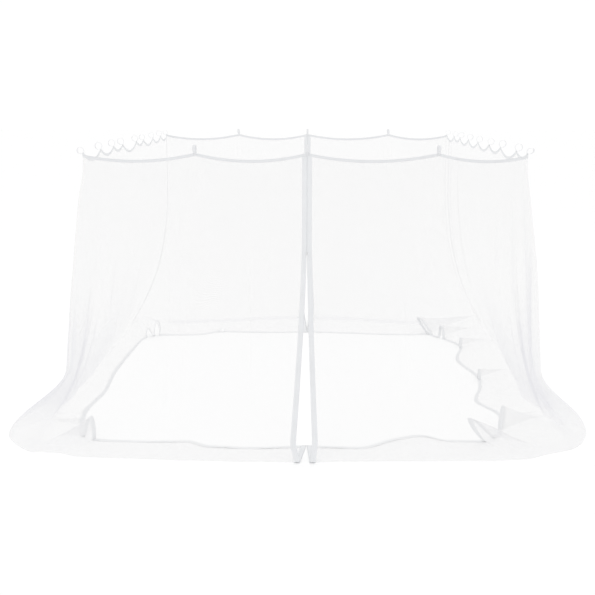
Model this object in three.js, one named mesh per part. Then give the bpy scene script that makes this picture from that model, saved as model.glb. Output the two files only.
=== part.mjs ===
// Gazebo mosquito net: two half curtains of fine net that hang by tape straps round a square
// of 3 m, zipped together at the middle of the front and of the back, with the spare length
// flared out to a foot on the floor and lying inward from there to a bound hem.
// Millimetres, +Z up, the floor at z = 0, the front towards -Y.
import * as THREE from "three";

// Driving dimensions
const SPAN = 3000; // side of the square that the top edge hangs round
const TOP_HEIGHT = 2095; // top edge at a strap, above the floor
const CORNER_RADIUS = 36; // plan rounding of the top edge at a corner
const NET_THICKNESS = 1.5;
const TAPE_THICKNESS = 2;
const HEADING_WIDTH = 20;
const BINDING_WIDTH = 33;
const ZIP_TAPE_WIDTH = 33;
const GAP = 0.3; // clearance between sewn pieces
const BINDING_SLACK = 2; // gaps of clearance at the binding, where the cloth is twisted
const TURN = 26; // cloth on each side of the rounded fold at the foot
const CORNER_DRIFT = { share: 0.36, reach: 450, from: 0.012, full: 0.15 }; // straight flare at a corner
const ZIP_SHIFT = { front: 20, back: 11 }; // how far each zip hangs to the right of the middle
const EAR = { reach: 140, from: 0.73 }; // rounded flare at a front corner: cloth either side, and its start
const PLACE = { x: 30, y: 16 }; // middle of the hung square from the middle of the whole spread
const FLOOR_LIFT = 1.6; // middle of the skirt's thickness above the floor
const SKIRT_PUFF = 12; // loose rise of the skirt between foot and hem
const PUFF_WAVE = 410; // cloth from one rise of the skirt to the next

// Distances along the cloth, from the front zip to the back zip
const HALF_SPAN = SPAN / 2;
const FRONT_CORNER = HALF_SPAN;
const BACK_CORNER = HALF_SPAN + SPAN;
const BACK_ZIP = 2 * SPAN;

// Sag of the top edge between straps
const WALL_SAG = 47; // on the long spans of the front and back
const SIDE_SAG = 45; // on a side span of SIDE_SPAN
const SIDE_SPAN = 330;

// Zips: closed down to the slider, gaping below it
const SLIDER_HEIGHT = 1420; // top of the slider
const SLOT = 1.8; // half width of the slot where the slider parts the tapes
const SLOT_RUN = 6; // height over which the tapes part above the slider
const GAPE_POWER = 1.35;
const GAPE_REACH = 520; // how far into the net the gape fades out
const GAPE_CLOSING = { from: 0.93, share: 0.45 }; // the gape draws in again towards the foot
const ZIP_FOOT = 0.94; // share of the height where a tape is parted from its foot

// Hanging straps
const STRAP_WIDTH = 20;
const STRAP_THICKNESS = 1.5;
const STRAP_LEG = 16; // sewn length below the top edge
const STRAP_NECK = 5; // upright length above the top edge
const STRAP_DIP = 9; // how much lower the outer leg turns over on a ring that lies flat
const STRAP_SEAT = 12; // half length of the flat of heading under a strap
const RING_STEPS = 9;
const RING_MOUTH = 15; // half angle of the ring's open foot, degrees

// Slider and pull
const SLIDER = { width: 12, height: 16, plate: 2, web: 2.4, drop: 1 };
const PULL = { width: 8, taper: 0.7, length: 30, thickness: 1.2, hole: 1.8, eye: 5.4, drop: 4, corner: 2 };
const EYE_STEPS = 4;

// Columns of the grids: cloth between two columns where nothing bends
const WALL_STEP = 150;
const SIDE_STEP = 95;
const CORNER_STEP = 35;
const CORNER_ZONE = 140;
const FOLD_STEPS = 1.5; // columns to the half width of a fold
const FLAP_STEPS = 6; // steps across a hem flap
const CLOSEST = 9; // least step between a flap's column and a seat
const STEP_STRETCH = 1.5; // how much longer the last step before a seat may be

// Rows of the grids: shares of the wall's height from the top edge down, and of the skirt
const SLIDER_SHARE = 1 - SLIDER_HEIGHT / TOP_HEIGHT;
const PARTING_SHARE = SLIDER_SHARE - SLOT_RUN / TOP_HEIGHT;
const WALL_ROWS = [0.13, PARTING_SHARE, SLIDER_SHARE, 0.5, 0.68, 0.82, ZIP_FOOT, 0.975];
const SKIRT_ROWS = [0.36, 0.7];

// Each half as a list of stations along the cloth. At a station the foot stands `footOut` from the
// middle plane and at `footY` from front to back, and the hem likewise. `curl` is the power of the
// flare: the higher, the lower down the cloth turns outward.
const LEFT_STATIONS = [
  { at: 0, footOut: 12, footY: -1768, hemOut: 12, hemY: -1500, curl: 2.4 },
  { at: 400, footOut: 430, footY: -1768, hemOut: 390, hemY: -1530, curl: 2.4 },
  { at: 700, footOut: 780, footY: -1756, hemOut: 690, hemY: -1510, curl: 2.5 },
  { at: 860, footOut: 960, footY: -1750, hemOut: 850, hemY: -1438, curl: 2.6 },
  { at: 1150, footOut: 1300, footY: -1730, hemOut: 1120, hemY: -1448, curl: 2.8 },
  { at: 1320, footOut: 1580, footY: -1715, hemOut: 1440, hemY: -1432, curl: 4.4 },
  { at: 1430, footOut: 1900, footY: -1660, hemOut: 1556, hemY: -1412, curl: 6 },
  { at: 1465, footOut: 2062, footY: -1540, hemOut: 1590, hemY: -1400, curl: 7 },
  { at: 1500, footOut: 2155, footY: -1375, hemOut: 1622, hemY: -1365, curl: 7.5 },
  { at: 1550, footOut: 2125, footY: -1235, hemOut: 1648, hemY: -1300, curl: 6.5 },
  { at: 1620, footOut: 2020, footY: -1120, hemOut: 1680, hemY: -1193, curl: 5.2 },
  { at: 1850, footOut: 1955, footY: -880, hemOut: 1727, hemY: -940, curl: 3.4 },
  { at: 2400, footOut: 1940, footY: -430, hemOut: 1690, hemY: -560, curl: 2.8 },
  { at: 3000, footOut: 1935, footY: 70, hemOut: 1725, hemY: -60, curl: 2.8 },
  { at: 3600, footOut: 1925, footY: 620, hemOut: 1712, hemY: 470, curl: 2.8 },
  { at: 4150, footOut: 1920, footY: 1200, hemOut: 1692, hemY: 800, curl: 3 },
  { at: 4420, footOut: 1972, footY: 1560, hemOut: 1650, hemY: 906, curl: 3.1 },
  { at: 4500, footOut: 1975, footY: 1738, hemOut: 1612, hemY: 925, curl: 3.2 },
  { at: 4580, footOut: 1880, footY: 1684, hemOut: 1584, hemY: 932, curl: 3.2 },
  { at: 4700, footOut: 1700, footY: 1500, hemOut: 1530, hemY: 955, curl: 3 },
  { at: 4900, footOut: 1480, footY: 1378, hemOut: 1150, hemY: 980, curl: 2.6 },
  { at: 5290, footOut: 880, footY: 1450, hemOut: 880, hemY: 1085, curl: 2.4 },
  { at: 5650, footOut: 390, footY: 1545, hemOut: 420, hemY: 1065, curl: 2.4 },
  { at: 6000, footOut: 12, footY: 1565, hemOut: 12, hemY: 1090, curl: 2.4 },
];
const RIGHT_STATIONS = [
  { at: 0, footOut: 12, footY: -1768, hemOut: 12, hemY: -1500, curl: 2.4 },
  { at: 400, footOut: 430, footY: -1748, hemOut: 380, hemY: -1515, curl: 2.4 },
  { at: 700, footOut: 760, footY: -1740, hemOut: 660, hemY: -1375, curl: 2.5 },
  { at: 900, footOut: 970, footY: -1732, hemOut: 850, hemY: -1318, curl: 2.6 },
  { at: 1150, footOut: 1270, footY: -1722, hemOut: 1060, hemY: -1400, curl: 2.8 },
  { at: 1330, footOut: 1570, footY: -1692, hemOut: 1296, hemY: -1402, curl: 4.2 },
  { at: 1430, footOut: 1840, footY: -1585, hemOut: 1378, hemY: -1345, curl: 5.5 },
  { at: 1465, footOut: 2020, footY: -1410, hemOut: 1396, hemY: -1325, curl: 6.2 },
  { at: 1500, footOut: 2068, footY: -1240, hemOut: 1413, hemY: -1305, curl: 6.5 },
  { at: 1550, footOut: 2035, footY: -1105, hemOut: 1437, hemY: -1280, curl: 5.8 },
  { at: 1620, footOut: 1945, footY: -1010, hemOut: 1474, hemY: -1223, curl: 4.8 },
  { at: 1850, footOut: 1885, footY: -860, hemOut: 1523, hemY: -976, curl: 3.4 },
  { at: 2200, footOut: 1842, footY: -560, hemOut: 1402, hemY: -700, curl: 2.8 },
  { at: 2600, footOut: 1872, footY: -240, hemOut: 1485, hemY: -450, curl: 2.8 },
  { at: 3000, footOut: 1895, footY: 10, hemOut: 1536, hemY: -190, curl: 2.8 },
  { at: 3500, footOut: 1915, footY: 430, hemOut: 1440, hemY: 260, curl: 2.8 },
  { at: 4000, footOut: 1925, footY: 880, hemOut: 1545, hemY: 660, curl: 2.8 },
  { at: 4300, footOut: 1930, footY: 1260, hemOut: 1402, hemY: 912, curl: 3 },
  { at: 4420, footOut: 1962, footY: 1545, hemOut: 1345, hemY: 965, curl: 3.1 },
  { at: 4500, footOut: 1966, footY: 1732, hemOut: 1318, hemY: 1008, curl: 3.2 },
  { at: 4580, footOut: 1860, footY: 1674, hemOut: 1292, hemY: 1036, curl: 3.2 },
  { at: 4700, footOut: 1640, footY: 1490, hemOut: 1236, hemY: 1034, curl: 3 },
  { at: 4900, footOut: 1400, footY: 1390, hemOut: 1080, hemY: 1014, curl: 2.6 },
  { at: 5150, footOut: 1000, footY: 1425, hemOut: 850, hemY: 1020, curl: 2.4 },
  { at: 5600, footOut: 420, footY: 1540, hemOut: 430, hemY: 1060, curl: 2.4 },
  { at: 6000, footOut: 12, footY: 1565, hemOut: 12, hemY: 1090, curl: 2.4 },
];

// Upright folds of the walls: `depth` outward or, below zero, inward, over `half` to either side,
// growing from the share `from` of the height to its full depth at `full`.
const LEFT_FOLDS = [
  { at: 1385, depth: -26, half: 75, from: 0.03, full: 0.4 },
  { at: 1500, depth: 24, half: 70, from: 0.02, full: 0.35 },
  { at: 1640, depth: -30, half: 90, from: 0.03, full: 0.45 },
  { at: 1850, depth: 30, half: 110, from: 0.02, full: 0.4 },
  { at: 2090, depth: -12, half: 120, from: 0.05, full: 0.5 },
  { at: 2330, depth: 10, half: 130, from: 0.08, full: 0.6 },
  { at: 2740, depth: -11, half: 140, from: 0.05, full: 0.55 },
  { at: 3060, depth: 12, half: 120, from: 0.04, full: 0.5 },
  { at: 3400, depth: -10, half: 130, from: 0.06, full: 0.6 },
  { at: 3760, depth: 13, half: 110, from: 0.03, full: 0.45 },
  { at: 4080, depth: -12, half: 120, from: 0.05, full: 0.5 },
  { at: 4390, depth: -20, half: 80, from: 0.04, full: 0.5 },
  { at: 4620, depth: -22, half: 100, from: 0.04, full: 0.5 },
];
const RIGHT_FOLDS = [
  { at: 1390, depth: -22, half: 80, from: 0.04, full: 0.5 },
  { at: 1500, depth: 44, half: 80, from: 0.02, full: 0.45 },
  { at: 1660, depth: -34, half: 95, from: 0.03, full: 0.4 },
  { at: 1880, depth: 32, half: 105, from: 0.02, full: 0.4 },
  { at: 2180, depth: -12, half: 130, from: 0.05, full: 0.55 },
  { at: 2520, depth: 13, half: 130, from: 0.04, full: 0.5 },
  { at: 2860, depth: -11, half: 120, from: 0.06, full: 0.6 },
  { at: 3180, depth: 10, half: 120, from: 0.05, full: 0.5 },
  { at: 3560, depth: -13, half: 140, from: 0.04, full: 0.5 },
  { at: 3920, depth: 12, half: 115, from: 0.03, full: 0.45 },
  { at: 4240, depth: -11, half: 110, from: 0.05, full: 0.5 },
  { at: 4420, depth: 18, half: 70, from: 0.02, full: 0.4 },
  { at: 4630, depth: -26, half: 100, from: 0.04, full: 0.45 },
];

// Loops of spare hem that stand up on the floor: cloth taken up over `half` to either side, the
// height reached at the hem, how far the crest leans along the hem, the share of the cloth that
// stays on the floor as the loop's `neck`, and how far the loop swells to either side of it.
const LEFT_FLAPS = [
  { at: 1420, half: 78, height: 176, lean: 0, neck: 0.22, swell: 17 },
  { at: 1582, half: 62, height: 88, lean: -8, neck: 0.25, swell: 22 },
  { at: 4420, half: 90, height: 90, lean: 6, neck: 0.4, swell: 20 },
  { at: 4640, half: 85, height: 168, lean: 4, neck: 0.2, swell: 24 },
  { at: 5250, half: 100, height: 40, lean: 20, neck: 0.3, swell: 8 },
];
const RIGHT_FLAPS = [
  { at: 1360, half: 82, height: 212, lean: -178, neck: 0.2, swell: 30 },
  { at: 1600, half: 95, height: 190, lean: 28, neck: 0.2, swell: 50 },
  { at: 2965, half: 110, height: 104, lean: -20, neck: 0.25, swell: 12 },
  { at: 3980, half: 110, height: 108, lean: -25, neck: 0.25, swell: 12 },
  { at: 4290, half: 80, height: 138, lean: 10, neck: 0.3, swell: 14 },
  { at: 4540, half: 95, height: 150, lean: 178, neck: 0.2, swell: 40 },
];
const FLAP_GIVE = 2.2; // cloth that gives way beside a flap, in half widths
const FLAP_RISE = 1.25; // power by which a flap rises from foot to hem
const FLAP_LEAN = 2.5; // and power by which it leans
const FLAP_RUN = 20; // length of hem that sets the direction of a flap

// Straps of each half, as distances from the front zip, with the ring's size across, its height
// over its width, and its lean outward in degrees
const LEFT_STRAPS = [
  { name: "front_left", at: 743, across: 54, tall: 1.05, lean: 24 },
  { name: "corner_front_left", at: 1550, across: 48, tall: 1, lean: 62 },
  { name: "left_1", at: 1965, across: 55, tall: 1, lean: 40 },
  { name: "left_2", at: 2315, across: 56, tall: 1, lean: 36 },
  { name: "left_3", at: 2590, across: 54, tall: 1.05, lean: 38 },
  { name: "left_4", at: 3070, across: 57, tall: 1, lean: 34 },
  { name: "left_5", at: 3340, across: 55, tall: 0.95, lean: 36 },
  { name: "left_6", at: 3740, across: 54, tall: 1, lean: 38 },
  { name: "left_7", at: 4110, across: 56, tall: 1.05, lean: 33 },
  { name: "corner_back_left", at: 4450, across: 50, tall: 1, lean: 40 },
  { name: "back_left", at: 5262, across: 55, tall: 1, lean: 22 },
];
const RIGHT_STRAPS = [
  { name: "front_right", at: 890, across: 55, tall: 1, lean: 27 },
  { name: "corner_front_right", at: 1550, across: 40, tall: 1.3, lean: 62 },
  { name: "right_1", at: 1810, across: 56, tall: 1, lean: 38 },
  { name: "right_2", at: 2245, across: 55, tall: 1.05, lean: 36 },
  { name: "right_3", at: 2600, across: 56, tall: 0.95, lean: 37 },
  { name: "right_4", at: 3000, across: 54, tall: 1, lean: 33 },
  { name: "right_5", at: 3385, across: 57, tall: 1, lean: 38 },
  { name: "right_6", at: 3765, across: 55, tall: 1.05, lean: 34 },
  { name: "right_7", at: 4055, across: 54, tall: 1, lean: 36 },
  { name: "corner_back_right", at: 4450, across: 50, tall: 1, lean: 36 },
  { name: "back_right", at: 5122, across: 54, tall: 1.05, lean: 25 },
];
// The two straps over the zips, which hold both halves
const MIDDLE_STRAPS = [
  { name: "front_middle", at: 0, across: 55, tall: 1.05, lean: 22 },
  { name: "back_middle", at: BACK_ZIP, across: 55, tall: 1, lean: 25 },
];

const HALVES = [
  {
    name: "left",
    side: -1,
    stations: LEFT_STATIONS,
    folds: LEFT_FOLDS,
    flaps: LEFT_FLAPS,
    straps: LEFT_STRAPS,
    gape: { front: 80, back: 40 },
  },
  {
    name: "right",
    side: 1,
    stations: RIGHT_STATIONS,
    folds: RIGHT_FOLDS,
    flaps: RIGHT_FLAPS,
    straps: RIGHT_STRAPS,
    gape: { front: 44, back: 46 },
  },
];

const material = (color, roughness) => new THREE.MeshStandardMaterial({ color, roughness });
const NET = material(0xf1f4f5, 0.9);
const TAPE = material(0xdfe4e6, 0.85);
const ZIP = material(0xd9dfe1, 0.8);
const MOULDED = material(0xf4f5f5, 0.4);

// Small functions of one variable
const lerp = (a, b, share) => a + (b - a) * share;
const smooth = (from, to, x) => THREE.MathUtils.smoothstep(x, from, to);
const bump = (x) => (Math.abs(x) < 1 ? Math.cos((Math.PI * x) / 2) ** 2 : 0);

// A column of the station table at a distance along the cloth: a cubic through the rows whose
// slopes are flat at a crest, so that it never overshoots.
function stationAt(rows, column, at) {
  const slopeOf = (i) => (rows[i + 1][column] - rows[i][column]) / (rows[i + 1].at - rows[i].at);
  const last = rows.length - 2;
  const next = rows.findIndex((row) => row.at > at);
  const i = next < 0 ? last : Math.max(0, next - 1);
  const knot = (k) => {
    if (k === 0 || k === last + 1) return slopeOf(Math.min(k, last));
    const [before, after] = [slopeOf(k - 1), slopeOf(k)];
    return before * after > 0 ? (2 * before * after) / (before + after) : 0;
  };
  const run = rows[i + 1].at - rows[i].at;
  const x = THREE.MathUtils.clamp((at - rows[i].at) / run, 0, 1);
  const rise = rows[i + 1][column] - rows[i][column];
  const [start, end] = [knot(i) * run, knot(i + 1) * run];
  return rows[i][column] + x * (start + x * (3 * rise - 2 * start - end + x * (start + end - 2 * rise)));
}

// The top edge in plan, as distance from the middle plane and place from front to back
function topPlan(at) {
  const sharp = (a) => {
    if (a < FRONT_CORNER) return [a, -HALF_SPAN];
    if (a < BACK_CORNER) return [HALF_SPAN, a - FRONT_CORNER - HALF_SPAN];
    return [BACK_ZIP - a, HALF_SPAN];
  };
  const corner = [FRONT_CORNER, BACK_CORNER].find((c) => Math.abs(at - c) < CORNER_RADIUS);
  if (corner === undefined) return sharp(at);
  const x = (at - corner + CORNER_RADIUS) / (2 * CORNER_RADIUS);
  const [a, b, c] = [corner - CORNER_RADIUS, corner, corner + CORNER_RADIUS].map(sharp);
  return [0, 1].map((k) => lerp(lerp(a[k], b[k], x), lerp(b[k], c[k], x), x));
}

// Outward direction of the wall in plan, at a distance along the cloth
function outward(at) {
  const step = 1;
  const [a, b] = [topPlan(Math.max(0, at - step)), topPlan(Math.min(BACK_ZIP, at + step))];
  const [dx, dy] = [b[0] - a[0], b[1] - a[1]];
  const length = Math.hypot(dx, dy);
  return [dy / length, -dx / length];
}

const seatOf = (at) => [at - STRAP_SEAT, at + STRAP_SEAT];
const supportsOf = (half) => [0, ...half.straps.map((strap) => strap.at), BACK_ZIP];

// Height of the top edge, which sags between straps
function topHeight(half, at) {
  const supports = supportsOf(half);
  const i = supports.findIndex((support) => support > at);
  if (i < 1) return TOP_HEIGHT;
  const [a, b] = [supports[i - 1], supports[i]];
  const onSide = a >= FRONT_CORNER && b <= BACK_CORNER;
  const sag = onSide ? (SIDE_SAG * (b - a)) / SIDE_SPAN : WALL_SAG;
  const x = (at - a) / (b - a);
  return TOP_HEIGHT - 4 * sag * x * (1 - x);
}

// How far the cloth stands away from the zip's middle line at a share of the height
function gape(half, at, share) {
  const below = Math.max(0, (share - SLIDER_SHARE) / (1 - SLIDER_SHARE));
  const closing = 1 - GAPE_CLOSING.share * smooth(GAPE_CLOSING.from, 1, share);
  const slot = SLOT * smooth(PARTING_SHARE, SLIDER_SHARE, share);
  const front = 1 - smooth(0, GAPE_REACH, at);
  const back = 1 - smooth(0, GAPE_REACH, BACK_ZIP - at);
  const opening = below ** GAPE_POWER * closing;
  return slot * (front + back) + opening * (half.gape.front * front + half.gape.back * back);
}

// Distance from the nearer zip, and 0 to 1 over the strip beside it that hangs straight down
const zipDistance = (at) => Math.min(at, BACK_ZIP - at);
const besideZip = (at) => smooth(0, 2 * ZIP_TAPE_WIDTH, zipDistance(at));

// The wall at a share of its height from the top edge (0) to the foot (1)
function wallPoint(half, at, share) {
  const [topOut, topY] = topPlan(at);
  const [normalOut, normalY] = outward(at);
  const drift = CORNER_DRIFT.share * bump((at - FRONT_CORNER) / CORNER_DRIFT.reach);
  const straight = share * smooth(CORNER_DRIFT.from, CORNER_DRIFT.full, share);
  const ear = bump((at - FRONT_CORNER) / EAR.reach);
  const curled = lerp(share ** stationAt(half.stations, "curl", at), smooth(EAR.from, 1, share), ear);
  const flare = lerp(curled, straight, drift);
  const footOut = lerp(topOut, stationAt(half.stations, "footOut", at), besideZip(at));
  let fold = 0;
  for (const row of half.folds) {
    fold += row.depth * bump((at - row.at) / row.half) * smooth(row.from, row.full, share);
  }
  const out = lerp(topOut, footOut, flare) + fold * normalOut + gape(half, at, share);
  const y = lerp(topY, stationAt(half.stations, "footY", at), flare) + fold * normalY;
  const z = lerp(topHeight(half, at), FLOOR_LIFT, share);
  return new THREE.Vector3(out, y, z);
}

// Direction of the hem in plan, at a distance along the cloth
function hemRun(half, at) {
  const place = (column, offset) => stationAt(half.stations, column, at + offset);
  const reach = FLAP_RUN / 2;
  const run = ["hemOut", "hemY"].map((column) => place(column, reach) - place(column, -reach));
  return run.map((value) => value / Math.hypot(...run));
}

// The skirt at a share of the way from the foot (0) to the hem (1)
function skirtPoint(half, at, share) {
  const foot = wallPoint(half, at, 1);
  const shift = [0, 0];
  let hemAt = at;
  let rise = 0;
  for (const flap of half.flaps) {
    const x = (at - flap.at) / flap.half;
    hemAt -= (1 - flap.neck) * (1 - smooth(1, FLAP_GIVE, Math.abs(x))) * (at - flap.at);
    if (Math.abs(x) >= 1) continue;
    const along = flap.lean * bump(x) + flap.swell * Math.sin(Math.PI * x);
    hemRun(half, flap.at).forEach((part, k) => (shift[k] += part * along));
    rise += flap.height * bump(x);
  }
  const zipEdge = zipDistance(at) + SLOT * (1 - besideZip(at));
  const hemOut = lerp(zipEdge, stationAt(half.stations, "hemOut", hemAt), besideZip(at));
  const hemY = stationAt(half.stations, "hemY", hemAt);
  const puff = SKIRT_PUFF * Math.sin(Math.PI * share) * Math.sin((Math.PI * at) / PUFF_WAVE) ** 2;
  const z = FLOOR_LIFT + rise * share ** FLAP_RISE + puff;
  const [moveOut, moveY] = shift.map((move) => move * share ** FLAP_LEAN);
  return new THREE.Vector3(lerp(foot.x, hemOut, share) + moveOut, lerp(foot.y, hemY, share) + moveY, z);
}

const skirtLength = (half, at) => skirtPoint(half, at, 0).distanceTo(skirtPoint(half, at, 1));

// The middle of the cloth: `down` runs 0 to 1 over the wall and 1 to 2 over the skirt, and the
// fold between them at the foot is a round turn.
function clothPoint(half, at, down) {
  const wallTurn = 1 - TURN / topHeight(half, at);
  const skirtTurn = 1 + TURN / skirtLength(half, at);
  let point;
  if (down <= wallTurn) point = wallPoint(half, at, down);
  else if (down >= skirtTurn) point = skirtPoint(half, at, down - 1);
  else {
    const x = (down - wallTurn) / (skirtTurn - wallTurn);
    const tip = wallPoint(half, at, 1);
    const inner = skirtPoint(half, at, skirtTurn - 1);
    point = wallPoint(half, at, wallTurn).lerp(tip, x).lerp(tip.clone().lerp(inner, x), x);
  }
  const front = Math.max(0, 1 - at / HALF_SPAN);
  const back = Math.max(0, 1 - (BACK_ZIP - at) / HALF_SPAN);
  point.x = point.x * half.side + ZIP_SHIFT.front * front + ZIP_SHIFT.back * back;
  return point;
}

// Sine of the angle at which the cloth meets its hem
const PROBE = { at: 1, down: 0.001 };
function squareness(half, at) {
  const [a, b] = [Math.max(0, at - PROBE.at), Math.min(BACK_ZIP, at + PROBE.at)];
  const hem = 2 - PROBE.down;
  const along = clothPoint(half, b, hem).sub(clothPoint(half, a, hem)).normalize();
  const drop = clothPoint(half, at, 2).sub(clothPoint(half, at, hem - PROBE.down)).normalize();
  return along.cross(drop).length();
}

// A closed sheet of one thickness over a grid: `columns` along the cloth, and at each of them the
// rows that `rowsAt` gives. The thickness stands square to the facets round each point.
function clothSheet(half, columns, rowsAt, thickness) {
  const rowCount = rowsAt(columns[0]).length;
  const width = columns.length;
  const size = width * rowCount;
  const middle = columns.flatMap((at) => rowsAt(at).map((down) => clothPoint(half, at, down)));
  const normals = middle.map(() => new THREE.Vector3());
  const index = [];
  const quad = (a, b, c, d) => index.push(a, b, c, a, c, d);
  const id = (face, column, row) => face * size + column * rowCount + row;
  for (let i = 0; i + 1 < width; i++) {
    for (let j = 0; j + 1 < rowCount; j++) {
      const corners = [id(0, i, j), id(0, i + 1, j), id(0, i + 1, j + 1), id(0, i, j + 1)];
      quad(...corners);
      quad(id(1, i, j), id(1, i, j + 1), id(1, i + 1, j + 1), id(1, i + 1, j));
      const [a, b, c, d] = corners.map((k) => middle[k]);
      const normal = c.clone().sub(a).cross(d.clone().sub(b)).normalize();
      corners.forEach((k) => normals[k].add(normal));
    }
    const low = rowCount - 1;
    quad(id(0, i, 0), id(1, i, 0), id(1, i + 1, 0), id(0, i + 1, 0));
    quad(id(0, i, low), id(0, i + 1, low), id(1, i + 1, low), id(1, i, low));
  }
  for (let j = 0; j + 1 < rowCount; j++) {
    const far = width - 1;
    quad(id(0, 0, j), id(0, 0, j + 1), id(1, 0, j + 1), id(1, 0, j));
    quad(id(0, far, j), id(1, far, j), id(1, far, j + 1), id(0, far, j + 1));
  }
  const faces = [thickness / 2, -thickness / 2].map((offset) =>
    middle.map((point, k) => point.clone().addScaledVector(normals[k].normalize(), offset)),
  );
  const geometry = new THREE.BufferGeometry().setFromPoints(faces.flat());
  geometry.setIndex(index);
  geometry.computeVertexNormals();
  return geometry;
}

// Columns between two places along the cloth: a pair at each strap's seat, a set across each flap,
// and between them steps that are finer where a fold bends the cloth.
function columnsOf(half, from, to) {
  const stepAt = (at) => {
    const onSide = at > FRONT_CORNER && at < BACK_CORNER;
    const nearCorner = [FRONT_CORNER, BACK_CORNER].some((corner) => Math.abs(at - corner) < CORNER_ZONE);
    let step = nearCorner ? CORNER_STEP : onSide ? SIDE_STEP : WALL_STEP;
    for (const fold of half.folds) {
      if (Math.abs(at - fold.at) < fold.half) step = Math.min(step, fold.half / FOLD_STEPS);
    }
    return step;
  };
  const seats = supportsOf(half).flatMap(seatOf);
  const places = Array.from({ length: FLAP_STEPS + 1 }, (_, i) => (2 * i) / FLAP_STEPS - 1);
  const crests = half.flaps.flatMap((flap) => places.map((x) => flap.at + x * flap.half));
  const clear = crests.filter((at) => seats.every((seat) => Math.abs(at - seat) > CLOSEST));
  const inside = [...seats, ...clear].filter((at) => at > from && at < to);
  const fixed = [from, ...inside.sort((a, b) => a - b), to];
  const columns = [from];
  for (let i = 1; i < fixed.length; i++) {
    let at = fixed[i - 1];
    while (fixed[i] - at > STEP_STRETCH * stepAt(at)) {
      at += stepAt(at);
      columns.push(at);
    }
    columns.push(fixed[i]);
  }
  return columns;
}

// Rows of the sheets
const headingShare = (half, at, width) => width / topHeight(half, at);
const bindingShare = (half, at, width) => 2 - width / skirtLength(half, at);
const turnRows = (half, at) => {
  const [start, end] = [1 - TURN / topHeight(half, at), 1 + TURN / skirtLength(half, at)];
  return [start, lerp(start, end, 0.5), end];
};
const bodyRows = (half, at) => [
  headingShare(half, at, HEADING_WIDTH + GAP),
  ...WALL_ROWS,
  ...turnRows(half, at),
  ...SKIRT_ROWS.map((share) => 1 + share),
  bindingShare(half, at, BINDING_WIDTH + (BINDING_SLACK * GAP) / squareness(half, at)),
];

// One half: its net, heading, binding and two zip tapes
function addHalf(group, half) {
  const edge = GAP / 2;
  const seam = edge + ZIP_TAPE_WIDTH;
  const add = (name, geometry, finish) => {
    const mesh = new THREE.Mesh(geometry, finish);
    mesh.name = name;
    group.add(mesh);
  };
  const netColumns = columnsOf(half, seam + GAP, BACK_ZIP - seam - GAP);
  add(`net_${half.name}`, clothSheet(half, netColumns, (at) => bodyRows(half, at), NET_THICKNESS), NET);
  const headingRows = (at) => [0, headingShare(half, at, HEADING_WIDTH)];
  const headingColumns = [edge, seam, ...netColumns.slice(1, -1), BACK_ZIP - seam, BACK_ZIP - edge];
  add(`heading_${half.name}`, clothSheet(half, headingColumns, headingRows, TAPE_THICKNESS), TAPE);
  const bindingRows = (at) => [bindingShare(half, at, BINDING_WIDTH), 2];
  add(`hem_binding_${half.name}`, clothSheet(half, netColumns, bindingRows, TAPE_THICKNESS), TAPE);
  const zipRows = {
    tape: (at) => [...bodyRows(half, at).filter((down) => down < ZIP_FOOT), ZIP_FOOT],
    foot: (at) => {
      const top = ZIP_FOOT + GAP / topHeight(half, at);
      return [top, ...bodyRows(half, at).filter((down) => down > top), 2];
    },
  };
  const zips = { front: [edge, seam], back: [BACK_ZIP - seam, BACK_ZIP - edge] };
  for (const [wall, columns] of Object.entries(zips)) {
    for (const [part, rows] of Object.entries(zipRows)) {
      add(`zip_${part}_${wall}_${half.name}`, clothSheet(half, columns, rows, NET_THICKNESS), ZIP);
    }
  }
}

// A strap's closed outline in its own plane (across the bar, up): two legs either side of the
// heading and a ring above, leaning outward.
function strapOutline(row) {
  const leg = (TAPE_THICKNESS + STRAP_THICKNESS) / 2 + GAP;
  const lean = THREE.MathUtils.degToRad(row.lean);
  const mouth = THREE.MathUtils.degToRad(RING_MOUTH);
  const [wide, tall] = [row.across / 2 - STRAP_THICKNESS, (row.across / 2) * row.tall - STRAP_THICKNESS];
  const shoulder = STRAP_NECK - STRAP_DIP * Math.sin(lean);
  const path = [new THREE.Vector2(leg, -STRAP_LEG), new THREE.Vector2(leg, shoulder)];
  for (let i = 0; i <= RING_STEPS; i++) {
    const turn = lerp(Math.PI - mouth, mouth - Math.PI, i / RING_STEPS);
    const ring = new THREE.Vector2(wide * Math.sin(turn), tall * (Math.cos(turn) + 1));
    ring.rotateAround(new THREE.Vector2(), -lean);
    path.push(ring.add(new THREE.Vector2(0, STRAP_NECK)));
  }
  path.push(new THREE.Vector2(-leg, STRAP_NECK), new THREE.Vector2(-leg, -STRAP_LEG));
  const sideOf = (sign) =>
    path.map((point, i) => {
      const before = point.clone().sub(path[Math.max(0, i - 1)]).normalize();
      const after = path[Math.min(path.length - 1, i + 1)].clone().sub(point).normalize();
      const run = before.add(after).setLength((sign * STRAP_THICKNESS) / 2);
      return new THREE.Vector2(point.x + run.y, point.y - run.x);
    });
  return [...sideOf(1), ...sideOf(-1).reverse()];
}

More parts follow.
